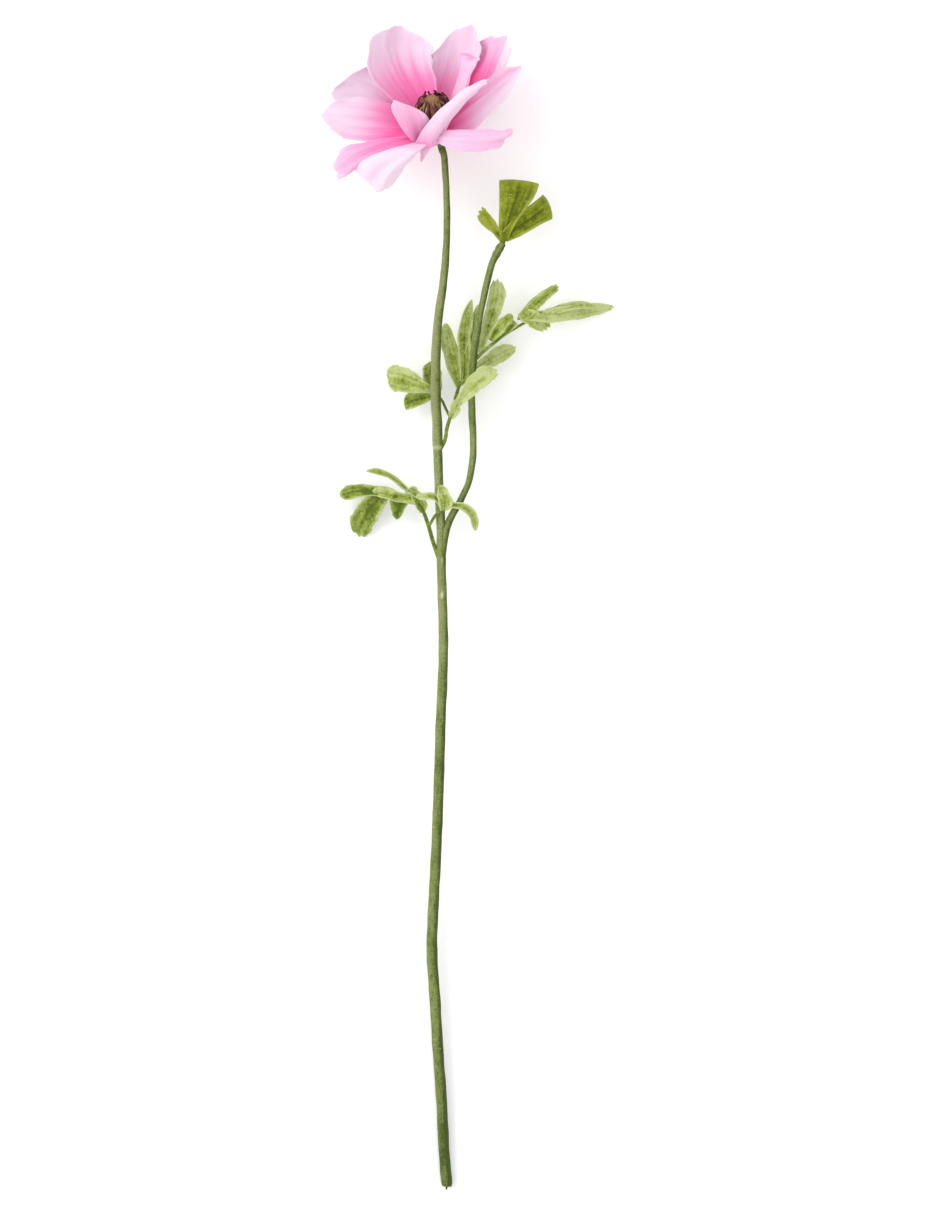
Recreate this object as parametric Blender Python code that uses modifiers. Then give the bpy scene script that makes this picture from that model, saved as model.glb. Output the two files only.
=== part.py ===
"""Anemone flower stem, laid down on a surface: a forked moulded stem over a wire, an upper flower
stalk plugged into it, four sets of lobed leaves, a cupped bloom of cut petals and a ribbed centre
with a ring of stamens.

Plan positions are counted on a square grid, as on a drawing seen from above, with u to the right
and w towards the foot of the stem. Heights are in millimetres above the surface.
"""
import math

import bmesh
import bpy
import numpy as np

# Driving dimensions, in metres
GRID = 0.000455            # one step of the plan grid: 1,164 steps from foot to petal tip
MM = 0.001
ORIGIN_U = 469.0           # grid position of the frame's origin
ORIGIN_W = 608.0
EYE_HEIGHT = 4.0           # the plan is drawn as seen from this height over the origin
SHEET = 0.0007             # thickness of petals and leaf blades
GAP = 0.0003               # clearance left between neighbouring pieces
HEAD_U = 438.0             # grid position of the receptacle, where the petals meet
HEAD_W = 131.0
HEAD_HEIGHT = 28.0         # its height, mm
HEAD_AXIS = (-0.16, 0.755, 0.635)
HUB_RADIUS = 0.0045
PEG_RADIUS = 0.0012
SOCKET_RADIUS = 0.0015
WIRE_RADIUS = 0.0004
WIRE_BORE = 0.0008
CENTRE_HEIGHT = 0.0125     # of the ball's middle over the receptacle, along the axis
CENTRE_RADIUS = 0.0066
STAMENS = 20

PETAL_STEPS = (8, 6)       # blade divisions along and across
SMALL_PETAL_STEPS = (5, 4)
TOOTHED_STEPS = (5, 6)
PLAIN_STEPS = (5, 4)

# Routes: (u, w, height mm, radius mm)
MAIN_ROUTE = [
    (446.5, 1187, 2.5, 2.3), (446.5, 1181, 2.56, 2.55), (444, 1150, 3.3, 2.5),
    (441.5, 1100, 4.2, 2.5), (438, 1050, 5.1, 2.5), (435, 1000, 6, 2.5), (432, 955, 6.9, 2.5),
    (432.7, 920, 7.5, 2.45), (436.5, 845, 8.9, 2.4), (439.6, 760, 10.4, 2.35),
    (440.7, 720, 11.1, 2.3), (442.6, 680, 11.9, 2.25), (443.4, 640, 12.6, 2.2),
    (442.4, 600, 13.3, 2.15), (441.2, 560, 14, 2.15), (441, 527, 14.6, 2.1),
    (439, 490, 15.3, 2.05), (438.5, 470, 15.7, 2.05), (437.5, 448, 16.1, 2.1)]
FORK_ROUTE = [
    (441.3, 556, 14.1, 1.6), (446, 530, 14.6, 1.6), (453, 513.6, 14.9, 1.55),
    (461.8, 498, 15.2, 1.5), (469.6, 478.5, 15.6, 1.5), (473.3, 450, 16.1, 1.55),
    (472.3, 420, 16.7, 1.6), (471.6, 397, 17.1, 1.65), (472.6, 372, 17.6, 1.75),
    (474.4, 348, 18, 1.75), (478.7, 322, 18.5, 1.55), (484.4, 294, 19, 1.5),
    (491, 267, 19.5, 1.55), (498, 251, 20, 1.6), (502.5, 244, 20.3, 1.45)]
STALK_ROUTE = [
    (437.5, 446.8, 16.1, 2.3), (437.3, 425, 16.5, 2.3), (435.8, 400, 16.9, 2.3),
    (435.8, 360, 17.7, 2.2), (438.1, 320, 18.4, 2.0), (443.6, 280, 19.1, 1.85),
    (446.6, 240, 19.9, 1.6), (446.7, 200, 20.6, 1.5), (444.5, 160, 21.4, 1.5)]
CALYX_ROUTE = [(442.3, 150, 22.2, 1.7), (440.9, 143.5, 23.6, 1.75), (439.8, 139.5, 24.8, 1.5)]

# Leaves: stalks are routes; a lobe has four rows (left u, left w, right u, right w) from its
# base to beyond its tip, and heights at its base, middle and tip
LEAF_LOW = {
    "stalks": [
        [(440, 562, 14.2, .95), (434, 545, 15, .95), (428.5, 526, 16, .9),
         (422.5, 510, 16.5, .8), (415, 501, 16, .7)],
        [(429, 526, 16, .7), (435, 516, 17.6, .65), (442, 507, 19.4, .6)]],
    "lobes": [
        ([(417, 494, 414, 496), (401, 481.5, 398, 485), (386, 470.5, 384, 476.5),
          (366, 468, 366, 474)], (16, 19, 20), .2, .0),
        ([(419, 495, 416, 499), (416, 487, 413, 496), (411, 487, 409, 494),
          (405, 489, 405, 494)], (16, 17, 17), .15, .0),
        ([(424, 513, 420, 513), (427, 504, 414, 504), (424, 496, 411, 497),
          (418, 490, 412, 491)], (16, 16.5, 17), .15, .0),
        ([(417, 495, 416, 505), (399, 491.5, 398, 502), (388, 487, 386, 499),
          (372, 486, 372, 497)], (16.5, 14, 11), .15, .0),
        ([(392, 489, 390, 498), (374, 485.5, 372, 496.5), (358, 483.5, 355, 498.5),
          (338, 489, 341, 501)], (13, 10, 7), .12, .0),
        ([(377, 492, 391, 496), (362, 500, 384, 508), (350.5, 516, 376, 524),
          (351.5, 532, 366, 540)], (12, 6, 0), .14, .025),
        ([(391, 495, 411, 496), (389.5, 504, 409, 503), (391, 511, 404, 511),
          (394, 520, 401, 519)], (15, 11, 7), .15, .0),
        ([(441, 503, 440, 508), (434, 493, 434, 501), (425, 492.5, 425, 499.5),
          (415, 494, 416, 500)], (19, 20, 18), .15, .0),
        ([(440, 511, 449, 510), (438, 501, 453, 502), (437, 492, 449.5, 493),
          (438, 484, 445.5, 486)], (19, 21, 21), .15, .0),
        ([(446, 504, 446, 510), (461, 502.5, 458, 508.5), (475, 511, 468, 516.5),
          (479, 530, 472, 532)], (19, 20, 16), .15, .0)]}
LEAF_MID = {
    "stalks": [
        [(439, 452, 16.1, .85), (445, 440, 16.6, .85), (447, 428, 17.5, .85),
         (451, 415, 18.5, .8)],
        [(450.5, 418, 18.3, .6), (446, 409, 16, .6), (441, 399, 13, .6),
         (433, 392, 12, .6)],
        [(450.5, 418, 18.3, .8), (454.5, 402, 16.5, .8), (460, 382, 14, .7)]],
    "lobes": [
        ([(434, 388, 434, 396), (420, 376, 417, 393), (404, 366, 397, 392.5),
          (385, 367, 388, 383)], (12, 13, 12), .1, .015),
        ([(435, 391, 434, 399), (421, 391.5, 422, 404.5), (410, 392.5, 411, 409.5),
          (403, 398, 405.5, 411)], (12, 11, 9), .14, .0),
        ([(433, 394, 440, 394), (424, 382, 442.5, 384), (422, 371, 441, 371),
          (428, 361, 437, 360)], (12, 11, 11), .15, .0),
        ([(456, 387, 461, 387), (446, 366, 463, 366), (441, 345, 457.5, 345),
          (441, 323, 450, 323)], (14, 12, 12), .1, .0),
        ([(459, 386, 466, 382), (459, 360, 471, 360), (458, 332, 471.5, 333),
          (469, 299, 474.5, 299)], (14, 13, 12), .12, .0),
        ([(464, 354, 471, 352), (469, 337, 478, 338), (472, 322, 480, 322),
          (475, 306, 480, 303)], (13, 12.5, 12), .12, .0),
        ([(453, 406, 459, 407), (462, 387, 471, 398), (475, 370, 487, 386),
          (492, 364, 501, 376)], (19, 23, 21), .14, .03),
        ([(449.5, 418, 453, 419), (449, 410, 459.5, 412), (452, 403, 460, 407),
          (456, 398, 463, 402)], (18.6, 20, 21), .12, .0),
        ([(461, 382, 463, 388), (478, 361, 482, 372), (495, 347.5, 500, 364),
          (513, 343, 519, 351)], (14, 10, 10), .14, .015)]}
LEAF_SIDE = {
    "stalks": [
        [(475, 360, 18, .8), (480, 355, 18.1, .8), (486, 349.5, 18, .8), (502.5, 336, 17, .75),
         (514.5, 328.5, 15.5, .7), (526, 322, 14.6, .6)]],
    "lobes": [
        ([(478, 354, 486, 346), (481, 330, 493, 330), (486, 303, 504, 305),
          (492, 278, 503, 281)], (17.6, 14.6, 16), .12, .025),
        ([(488, 339, 493, 342), (496, 323, 503, 333), (503, 316, 510, 324),
          (510, 312, 515, 317)], (17, 18, 18), .12, .0),
        ([(505, 335, 510, 332), (505, 327, 514, 329), (509, 322, 517, 326),
          (511, 318, 516, 322)], (16.3, 17, 17), .12, .0),
        ([(517, 320, 529, 320), (526, 304, 537, 311), (542, 291, 548.5, 300),
          (557, 282, 560, 291)], (15, 14, 11), .12, .025),
        ([(518, 314, 529, 309), (522, 322, 538, 311), (531, 328, 547, 317),
          (541, 333, 552, 326)], (15, 14, 9), .1, .04),
        ([(527, 312, 528, 321), (556, 307.5, 554, 322.5), (584, 303, 581, 319.5),
          (615, 304.5, 613, 310)], (14.6, 9, -.6), .1, .02)]}
LEAF_FAN = {
    "stalks": [[(502, 245, 20.2, 1.1), (504, 239, 20.8, 1.05), (505.5, 232, 20.9, .8)]],
    "lobes": [
        ([(500, 242, 505, 235), (493, 234, 498, 226), (485, 227, 491, 216),
          (476, 218, 483, 205)], (20.6, 22, 24), .06, .03),
        ([(500, 241, 508, 241), (499, 221, 517, 222), (499, 200, 530, 203.5),
          (499.5, 178, 540, 182)], (20.6, 22, 20), .03, .0),
        ([(501, 234, 507, 242), (511, 221.5, 520, 236), (528, 207, 537, 227),
          (544.5, 192.5, 555, 217.5)], (20.6, 20.5, 15), .05, .0)]}

# Petals: rows of left edge, middle and right edge points (u, w, height mm over the receptacle)
# at one third, two thirds and the whole of the length, then the tip's fall-off and its exponent,
# the edge wave in mm, its phase and the scallop of the tip
PETALS = {
    "back_left": ([[(391, 99, 3), (416, 94, -3), (437, 92, 0)],
                   [(368, 65, 5), (400, 60, -6), (433, 62, 0)],
                   [(376, 25, 6), (401, 27, -6), (433, 37, 0)]], .16, 2.6, .7, .2, .0),
    "back": ([[(430, 92, -4), (446, 92, -6), (466, 94, -1)],
              [(431, 66, -6), (455, 61, -10), (476, 63, -4)],
              [(434, 47, -6), (465, 25, -9), (487, 37, -4)]], .14, 2.0, .8, .5, .0),
    "standing": ([[(449, 101, 2), (455, 99, 9), (459, 101, 14)],
                  [(459, 72, 10), (464, 72, 16), (471, 73, 22)],
                  [(453, 46, 14), (467, 52, 20), (480, 54, 25)]], .1, 2.0, .4, .1, .0),
    "back_right": ([[(460, 96, -2), (470, 98, 0), (478, 104, 5)],
                    [(471, 60, -9), (486, 66, -3), (499, 74, 7)],
                    [(479, 40, -9), (500, 36, -3), (518, 52, 6)]], .1, 2.4, .9, .7, .03),
    "right": ([[(448, 108, 5), (458, 119, 4), (467, 133, 8)],
               [(478, 84, 13), (489, 96, 11), (492, 114, 15)],
               [(506, 62, 17), (521, 69, 18), (510, 83, 20)]], .12, 2.4, .7, .3, .0),
    "front_band": ([[(416, 142, 10), (428, 144, 10), (440, 140, 8)],
                    [(438, 111, 21), (447, 113, 24), (458, 111, 20)],
                    [(482, 82, 29), (488, 80, 31), (488, 88, 29)]], .1, 2.0, .5, .9, .0),
    "front_small": ([[(414, 142, 7), (420, 141, 8), (430, 138, 7)],
                     [(398, 122, 14), (413, 120, 17), (431, 123, 14)],
                     [(390, 100, 19), (398, 101, 21), (412, 107, 19)]], .1, 2.0, .3, .0, .0),
    "left_upper": ([[(411, 100, -5), (403, 114, -4), (395, 134, -2)],
                    [(382, 71, -6), (368, 94, -7), (358, 118, -3)],
                    [(356, 70, -2), (334, 88, -4), (329, 106, -2)]], .16, 2.2, .8, .4, .0),
    "left": ([[(404, 108, 0), (400, 124, 0), (398, 138, 5)],
              [(366, 98, 0), (362, 119, 2), (362, 141, 6)],
              [(333, 97, 3), (322, 115, 5), (330, 135, 8)]], .15, 2.4, .7, .1, .0),
    "left_lower": ([[(404, 137, 7), (404, 141, 7), (408, 147, 9)],
                    [(366, 141, 6), (370, 150, 10), (376, 157, 9)],
                    [(329, 160, 1), (337, 177, 5), (350, 180, 6)]], .1, 2.2, .7, .6, .0),
    "hanging": ([[(402, 146, 9), (414, 149, 13), (424, 147, 12)],
                 [(364, 156, 8), (389, 167, 14), (407, 164, 12)],
                 [(358, 178, 2), (378, 191, 6), (397, 187, 6)]], .14, 2.2, .6, .8, .0),
    "right_lower": ([[(440, 130, 12), (446, 138, 15), (444, 146, 13)],
                     [(480, 130, 22), (484, 139, 26), (475, 152, 22)],
                     [(512, 127, 24), (512, 132, 27), (502, 140, 24)]], .08, 2.2, .8, .5, .0),
    "pointed": ([[(420, 143, 4), (426, 146, 6), (434, 144, 4)],
                 [(420, 150, 3), (425, 152, 5), (430, 149, 3)],
                 [(420, 159, 0), (421, 162, 1), (423, 159, 0)]], .05, 2.0, .0, .0, .0),
    "under_left": ([[(411, 96, -9), (424, 96, -12), (438, 94, -11)],
                    [(392, 72, -20), (410, 66, -24), (430, 66, -21)],
                    [(388, 54, -33), (408, 44, -36), (428, 48, -34)]], .16, 2.4, .3, .3, .0),
    "under_back": ([[(436, 94, -11), (448, 94, -12), (462, 98, -9)],
                    [(438, 68, -22), (456, 66, -24), (474, 72, -19)],
                    [(440, 50, -35), (460, 44, -37), (480, 54, -33)]], .16, 2.4, .3, .8, .0),
    "under_right": ([[(458, 104, -6), (464, 112, -8), (466, 124, -6)],
                     [(480, 82, -14), (490, 94, -17), (488, 112, -14)],
                     [(494, 68, -21), (507, 80, -23), (504, 100, -21)]], .16, 2.4, .5, .6, .0)}


def plan(points):
    """Frame positions, in metres, of grid points (u, w, height mm)."""
    points = np.asarray(points, float)
    z = points[..., 2] * MM
    shrink = 1.0 - z / EYE_HEIGHT
    x = (points[..., 0] - ORIGIN_U) * GRID * shrink
    y = (ORIGIN_W - points[..., 1]) * GRID * shrink
    return np.stack([x, y, z], axis=-1)


def unit(vectors):
    """Vectors scaled to length one."""
    vectors = np.asarray(vectors, float)
    return vectors / np.maximum(np.linalg.norm(vectors, axis=-1, keepdims=True), 1e-12)


def ease(x):
    """Smooth step from 0 to 1."""
    x = np.clip(x, 0.0, 1.0)
    return x * x * (3.0 - 2.0 * x)


def weights(stations, x):
    """Weights of the polynomial through the stations, along a new last axis."""
    out = np.ones(x.shape + (len(stations),))
    for i, a in enumerate(stations):
        for j, b in enumerate(stations):
            if i != j:
                out[..., i] *= (x - b) / (a - b)
    return out


def net_surface(net, t, v):
    """Points at (t, v) of the surface that is cubic along and quadratic across a 4 x 3 net."""
    along = weights([0.0, 1 / 3, 2 / 3, 1.0], t)
    across = weights([-1.0, 0.0, 1.0], v)
    return np.einsum("abi,abj,ijk->abk", along, across, net)


def head_frame():
    """Right, back and outward directions of the bloom."""
    axis = unit(HEAD_AXIS)
    right = unit(np.array([1.0, 0.0, 0.0]) - axis * axis[0])
    return right, np.cross(axis, right), axis


def head_point():
    """Position of the receptacle."""
    return plan((HEAD_U, HEAD_W, HEAD_HEIGHT))


def petal_net(rows):
    """A petal's net: its narrow claw at the receptacle, then its three rows."""
    rows = np.array(rows, float)
    rows[..., 2] += HEAD_HEIGHT
    rows = plan(rows)
    centre = head_point()
    axis = head_frame()[2]
    reach = rows[0, 1] - centre
    outward = unit(reach - axis * (reach @ axis))
    sideways = np.cross(axis, outward)
    turn = np.sign((rows[0, 2] - rows[0, 0]) @ sideways)
    spread = np.array([-1.0, 0.0, 1.0])[:, None] * turn * 2.6 * MM
    claw = centre + outward * 2.6 * MM + sideways * spread
    return np.concatenate([claw[None], rows])


def petal_points(shape, steps):
    """Middle surface of a petal: its net, with a rounded tip, an edge wave and a scallop."""
    rows, fall, power, wave, phase, scallop = shape
    net = petal_net(rows)
    s = np.linspace(0.0, 1.0, steps[0] + 1)[:, None]
    v = np.linspace(-1.0, 1.0, steps[1] + 1)[None, :]
    reach = 1.0 - fall * np.abs(v) ** power
    reach = reach + scallop * np.cos(9.0 * v + 6.0 * phase) * (1.0 - v ** 2)
    t = s * reach
    v = v + 0.0 * t
    points = net_surface(net, t, v)
    d = 1e-3
    ahead = net_surface(net, t + d, v) - net_surface(net, t - d, v)
    aside = net_surface(net, t, v + d) - net_surface(net, t, v - d)
    normal = unit(np.cross(ahead, aside))
    edge = ease((t - 0.3) / 0.5) * np.abs(v) ** 1.5
    ripple = edge * np.sin(2.0 * math.pi * (2.0 * t + phase) + np.where(v > 0, 1.9, 0.0))
    ripple = ripple + 0.8 * ease((t - 0.6) / 0.4) * np.sin(7.0 * v + 9.0 * phase)
    return points + (wave * MM * ripple)[..., None] * normal


def lobe_points(shape, steps, cup=1.2):
    """Middle surface of a leaf lobe: its rows, a shallow trough across and a toothed tip."""
    rows, heights, fall, teeth = shape
    rows = np.array(rows, float)
    k = np.array([0.0, 1 / 3, 2 / 3, 1.0])
    z = heights[0] * (1 - k) * (1 - 2 * k) + heights[1] * 4 * k * (1 - k)
    z = z + heights[2] * k * (2 * k - 1)
    rise = cup * np.array([0.3, 1.0, 1.0, 0.6])
    left = np.column_stack([rows[:, 0:2], z + rise])
    right = np.column_stack([rows[:, 2:4], z + rise])
    middle = np.column_stack([(rows[:, 0:2] + rows[:, 2:4]) / 2, z])
    net = plan(np.stack([left, middle, right], axis=1))
    s = np.linspace(0.0, 1.0, steps[0] + 1)[:, None]
    v = np.linspace(-1.0, 1.0, steps[1] + 1)[None, :]
    reach = 1.0 - fall * np.abs(v) ** 2.4 + teeth * np.cos(3.0 * math.pi * v)
    t = s * reach
    return net_surface(net, t, v + 0.0 * t)


def smooth_route(route, pieces):
    """Points (u, w, height, radius) of a smooth curve through the route's own points."""
    route = np.array(route, float)
    ends = np.vstack([2 * route[0] - route[1], route, 2 * route[-1] - route[-2]])
    out = []
    for i in range(len(route) - 1):
        a, b, c, d = ends[i:i + 4]
        for f in np.arange(pieces) / pieces:
            bend = 2 * b + (c - a) * f + (2 * a - 5 * b + 4 * c - d) * f ** 2
            out.append(0.5 * (bend + (3 * b - a - 3 * c + d) * f ** 3))
    out.append(route[-1])
    return np.array(out)


def new_collection(name):
    """A collection linked to the scene."""
    collection = bpy.data.collections.new(name)
    bpy.context.scene.collection.children.link(collection)
    return collection


def add_mesh(name, mesh, collection):
    """An object that shows a mesh."""
    obj = bpy.data.objects.new(name, mesh)
    collection.objects.link(obj)
    return obj


def settle(obj):
    """Replace an object's mesh by its evaluated one, and drop its modifiers."""
    graph = bpy.context.evaluated_depsgraph_get()
    mesh = bpy.data.meshes.new_from_object(obj.evaluated_get(graph))
    old = obj.data
    obj.modifiers.clear()
    obj.data = mesh
    if old.users == 0:
        bpy.data.meshes.remove(old)
    return obj


def drop(obj):
    """Remove an object from the file."""
    bpy.data.objects.remove(obj, do_unlink=True)


def tidy(obj, distance=1e-7):
    """Weld stray points and keep only the largest of an object's bodies."""
    bm = bmesh.new()
    bm.from_mesh(obj.data)
    bmesh.ops.remove_doubles(bm, verts=bm.verts, dist=distance)
    bmesh.ops.dissolve_degenerate(bm, edges=bm.edges, dist=distance)
    bm.verts.ensure_lookup_table()
    unseen = set(bm.verts)
    bodies = []
    while unseen:
        body = [unseen.pop()]
        for vert in body:
            for edge in vert.link_edges:
                other = edge.other_vert(vert)
                if other in unseen:
                    unseen.remove(other)
                    body.append(other)
        bodies.append(body)
    bodies.sort(key=len)
    for body in bodies[:-1]:
        bmesh.ops.delete(bm, geom=body, context="VERTS")
    bmesh.ops.triangulate(bm, faces=bm.faces)
    bmesh.ops.recalc_face_normals(bm, faces=bm.faces)
    bm.to_mesh(obj.data)
    bm.free()
    return obj


def sheet(name, points, collection, thickness=SHEET):
    """A thin closed blade round a grid of points, resting on the surface where it reaches it."""
    rows, columns = points.shape[:2]
    points = points.copy()
    points[..., 2] = np.maximum(points[..., 2], thickness / 2)
    bm = bmesh.new()
    grid = [[bm.verts.new(points[i, j]) for j in range(columns)] for i in range(rows)]
    for i in range(rows - 1):
        for j in range(columns - 1):
            bm.faces.new((grid[i][j], grid[i + 1][j], grid[i + 1][j + 1], grid[i][j + 1]))
    bmesh.ops.triangulate(bm, faces=bm.faces)
    mesh = bpy.data.meshes.new(name)
    bm.to_mesh(mesh)
    bm.free()
    obj = add_mesh(name, mesh, collection)
    shell = obj.modifiers.new("Thickness", "SOLIDIFY")
    shell.thickness = thickness
    shell.offset = 0.0
    settle(obj)
    for vert in obj.data.vertices:
        if vert.co.z < 0.00008:
            vert.co.z = 0.0
    return obj


def tube(name, route, collection, sides=2, pieces=2, grow=0.0, radius=None):
    """A round bar along a route, as a mesh with welded caps."""
    points = smooth_route(route, pieces)
    places = plan(points[:, :3])
    curve = bpy.data.curves.new(name, "CURVE")
    curve.dimensions = "3D"
    curve.bevel_depth = MM
    curve.bevel_resolution = sides
    curve.use_fill_caps = True
    spline = curve.splines.new("POLY")
    spline.points.add(len(points) - 1)
    for point, place, size in zip(spline.points, places, points[:, 3]):
        point.co = (*place, 1.0)
        point.radius = (size if radius is None else radius / MM) + grow / MM
    bar = bpy.data.objects.new(name + "_curve", curve)
    collection.objects.link(bar)
    graph = bpy.context.evaluated_depsgraph_get()
    mesh = bpy.data.meshes.new_from_object(bar.evaluated_get(graph))
    obj = add_mesh(name, mesh, collection)
    obj.matrix_world = bar.matrix_world
    drop(bar)
    bm = bmesh.new()
    bm.from_mesh(mesh)
    bmesh.ops.remove_doubles(bm, verts=bm.verts, dist=1e-6)
    bmesh.ops.recalc_face_normals(bm, faces=bm.faces)
    bm.to_mesh(mesh)
    bm.free()
    return obj


def axis_profile(name, profile, collection, steps, origin, axis):
    """A turned solid about the bloom's axis; the profile runs from its top down, in mm."""
    bm = bmesh.new()
    verts = [bm.verts.new((r * MM, 0.0, z * MM)) for r, z in profile]
    for a, b in zip(verts, verts[1:]):
        bm.edges.new((a, b))
    mesh = bpy.data.meshes.new(name)
    bm.to_mesh(mesh)
    bm.free()
    obj = add_mesh(name, mesh, collection)
    turn = obj.modifiers.new("Turn", "SCREW")
    turn.steps = steps
    turn.render_steps = steps
    turn.use_merge_vertices = True
    turn.merge_threshold = 0.00001
    settle(obj)
    right, back, out = head_frame() if axis is None else axis
    coords = np.empty(len(obj.data.vertices) * 3)
    obj.data.vertices.foreach_get("co", coords)
    coords = coords.reshape(-1, 3)
    placed = origin + coords[:, 0:1] * right + coords[:, 1:2] * back + coords[:, 2:3] * out
    obj.data.vertices.foreach_set("co", placed.ravel())
    obj.data.update()
    return obj


def join(first, others, parts, solver="EXACT"):
    """Fuse the other objects into the first by one union."""
    if not others:
        return first
    group = new_collection("joining")
    for obj in others:
        for owner in list(obj.users_collection):
            owner.objects.unlink(obj)
        group.objects.link(obj)
    union = first.modifiers.new("Union", "BOOLEAN")
    union.operation = "UNION"
    union.operand_type = "COLLECTION"
    union.collection = group
    union.solver = solver
    settle(first)
    for obj in list(group.objects):
        drop(obj)
    bpy.data.collections.remove(group)
    return tidy(first)


def cut(obj, cutter, solver="EXACT"):
    """Take the cutter's shape out of an object."""
    take = obj.modifiers.new("Cut", "BOOLEAN")
    take.operation = "DIFFERENCE"
    take.object = cutter
    take.solver = solver
    settle(obj)
    drop(cutter)
    return tidy(obj)


def leaf(name, plan_of, parts, neighbours):
    """Stalks and lobes fused to one leaf, cut clear of the stems that it grows from."""
    pieces = []
    for i, route in enumerate(plan_of["stalks"]):
        pieces.append(tube(f"{name}_stalk{i}", route, parts, sides=1, pieces=2))
    for i, shape in enumerate(plan_of["lobes"]):
        steps = TOOTHED_STEPS if shape[3] > 0.0 else PLAIN_STEPS
        pieces.append(sheet(f"{name}_lobe{i}", lobe_points(shape, steps), parts))
    obj = join(pieces[0], pieces[1:], parts)
    for i, route in enumerate(neighbours):
        obj = cut(obj, tube(f"{name}_clear{i}", route, parts, sides=3, pieces=2, grow=GAP))
    obj.name = name
    obj.data.name = name
    return obj


def paint(obj, name, colour, roughness, metallic=0.0):
    """Give an object its own Principled material."""
    material = bpy.data.materials.new(name)
    material.use_nodes = True
    shader = material.node_tree.nodes["Principled BSDF"]
    shader.inputs["Base Color"].default_value = (*colour, 1.0)
    shader.inputs["Roughness"].default_value = roughness
    shader.inputs["Metallic"].default_value = metallic
    material.diffuse_color = (*colour, 1.0)
    obj.data.materials.clear()
    obj.data.materials.append(material)


def make_stems(parts):
    """The forked lower stem, the wire in it and the flower stalk plugged into its top."""
    stem = tube("main_stem", MAIN_ROUTE, parts, sides=4, pieces=1)
    stem = join(stem, [tube("fork", FORK_ROUTE, parts, sides=3, pieces=2)], parts)
    bore_route = [(446.5, 1192, 2.45, .8)] + MAIN_ROUTE[1:17]
    stem = cut(stem, tube("bore", bore_route, parts, sides=2, pieces=1, radius=WIRE_BORE))
    socket_route = [(438.6, 472, 15.66, 1), (437.5, 448, 16.1, 1), (437.4, 440, 16.25, 1)]
    stem = cut(stem, tube("socket", socket_route, parts, sides=3, pieces=1,
                          radius=PEG_RADIUS + GAP))
    stem.name = "main_stem"
    wire_route = [(446.5, 1189.5, 2.47, .4)] + MAIN_ROUTE[1:16] + [(439.4, 497, 15.17, .4)]
    wire = tube("stem_wire", wire_route, parts, sides=2, pieces=1, radius=WIRE_RADIUS)
    right, back, out = head_frame()
    centre = head_point()
    stalk = tube("flower_stalk", STALK_ROUTE + CALYX_ROUTE, parts, sides=3, pieces=2)
    peg_route = [(438.4, 468, 15.74, 1), (437.5, 448, 16.1, 1), (437.3, 436, 16.3, 1)]
    peg = tube("peg", peg_route, parts, sides=2, pieces=1, radius=PEG_RADIUS)
    neck = axis_profile("neck", [(0, 6.5), (1.0, 6.5), (1.2, 6.3), (1.2, -1.5), (2.2, -1.8),
                                 (2.2, -3.0), (1.2, -6.0), (0, -6.0)],
                        parts, 16, centre, None)
    stalk = join(stalk, [peg, neck], parts)
    return stem, wire, stalk


def make_petals(parts):
    """All petals fused round a hub that the stalk's neck passes through."""
    centre = head_point()
    hub = axis_profile("hub", [(0, 0.9), (3.4, 0.9), (4.5, 0.3), (4.2, -0.9), (3.0, -1.2),
                               (0, -1.2)], parts, 24, centre, None)
    blades = []
    for name, shape in PETALS.items():
        steps = SMALL_PETAL_STEPS if name in ("pointed", "front_small") else PETAL_STEPS
        blades.append(sheet(name, petal_points(shape, steps), parts))
    petals = join(hub, blades, parts, "MANIFOLD")
    hole = axis_profile("hole", [(0, 4), (1.5, 4), (1.5, -4), (0, -4)], parts, 16, centre, None)
    petals = cut(petals, hole, "MANIFOLD")
    room = axis_profile("room", [(0, 19.0), (5.6, 19.0), (8.6, 16.4), (9.1, 12.0), (7.3, 6.8),
                                 (3.0, 3.3), (3.0, 1.0), (0, 1.0)], parts, 24, centre, None)
    petals = cut(petals, room, "MANIFOLD")
    petals.name = "petals"
    petals.data.name = "petals"
    return petals


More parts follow.
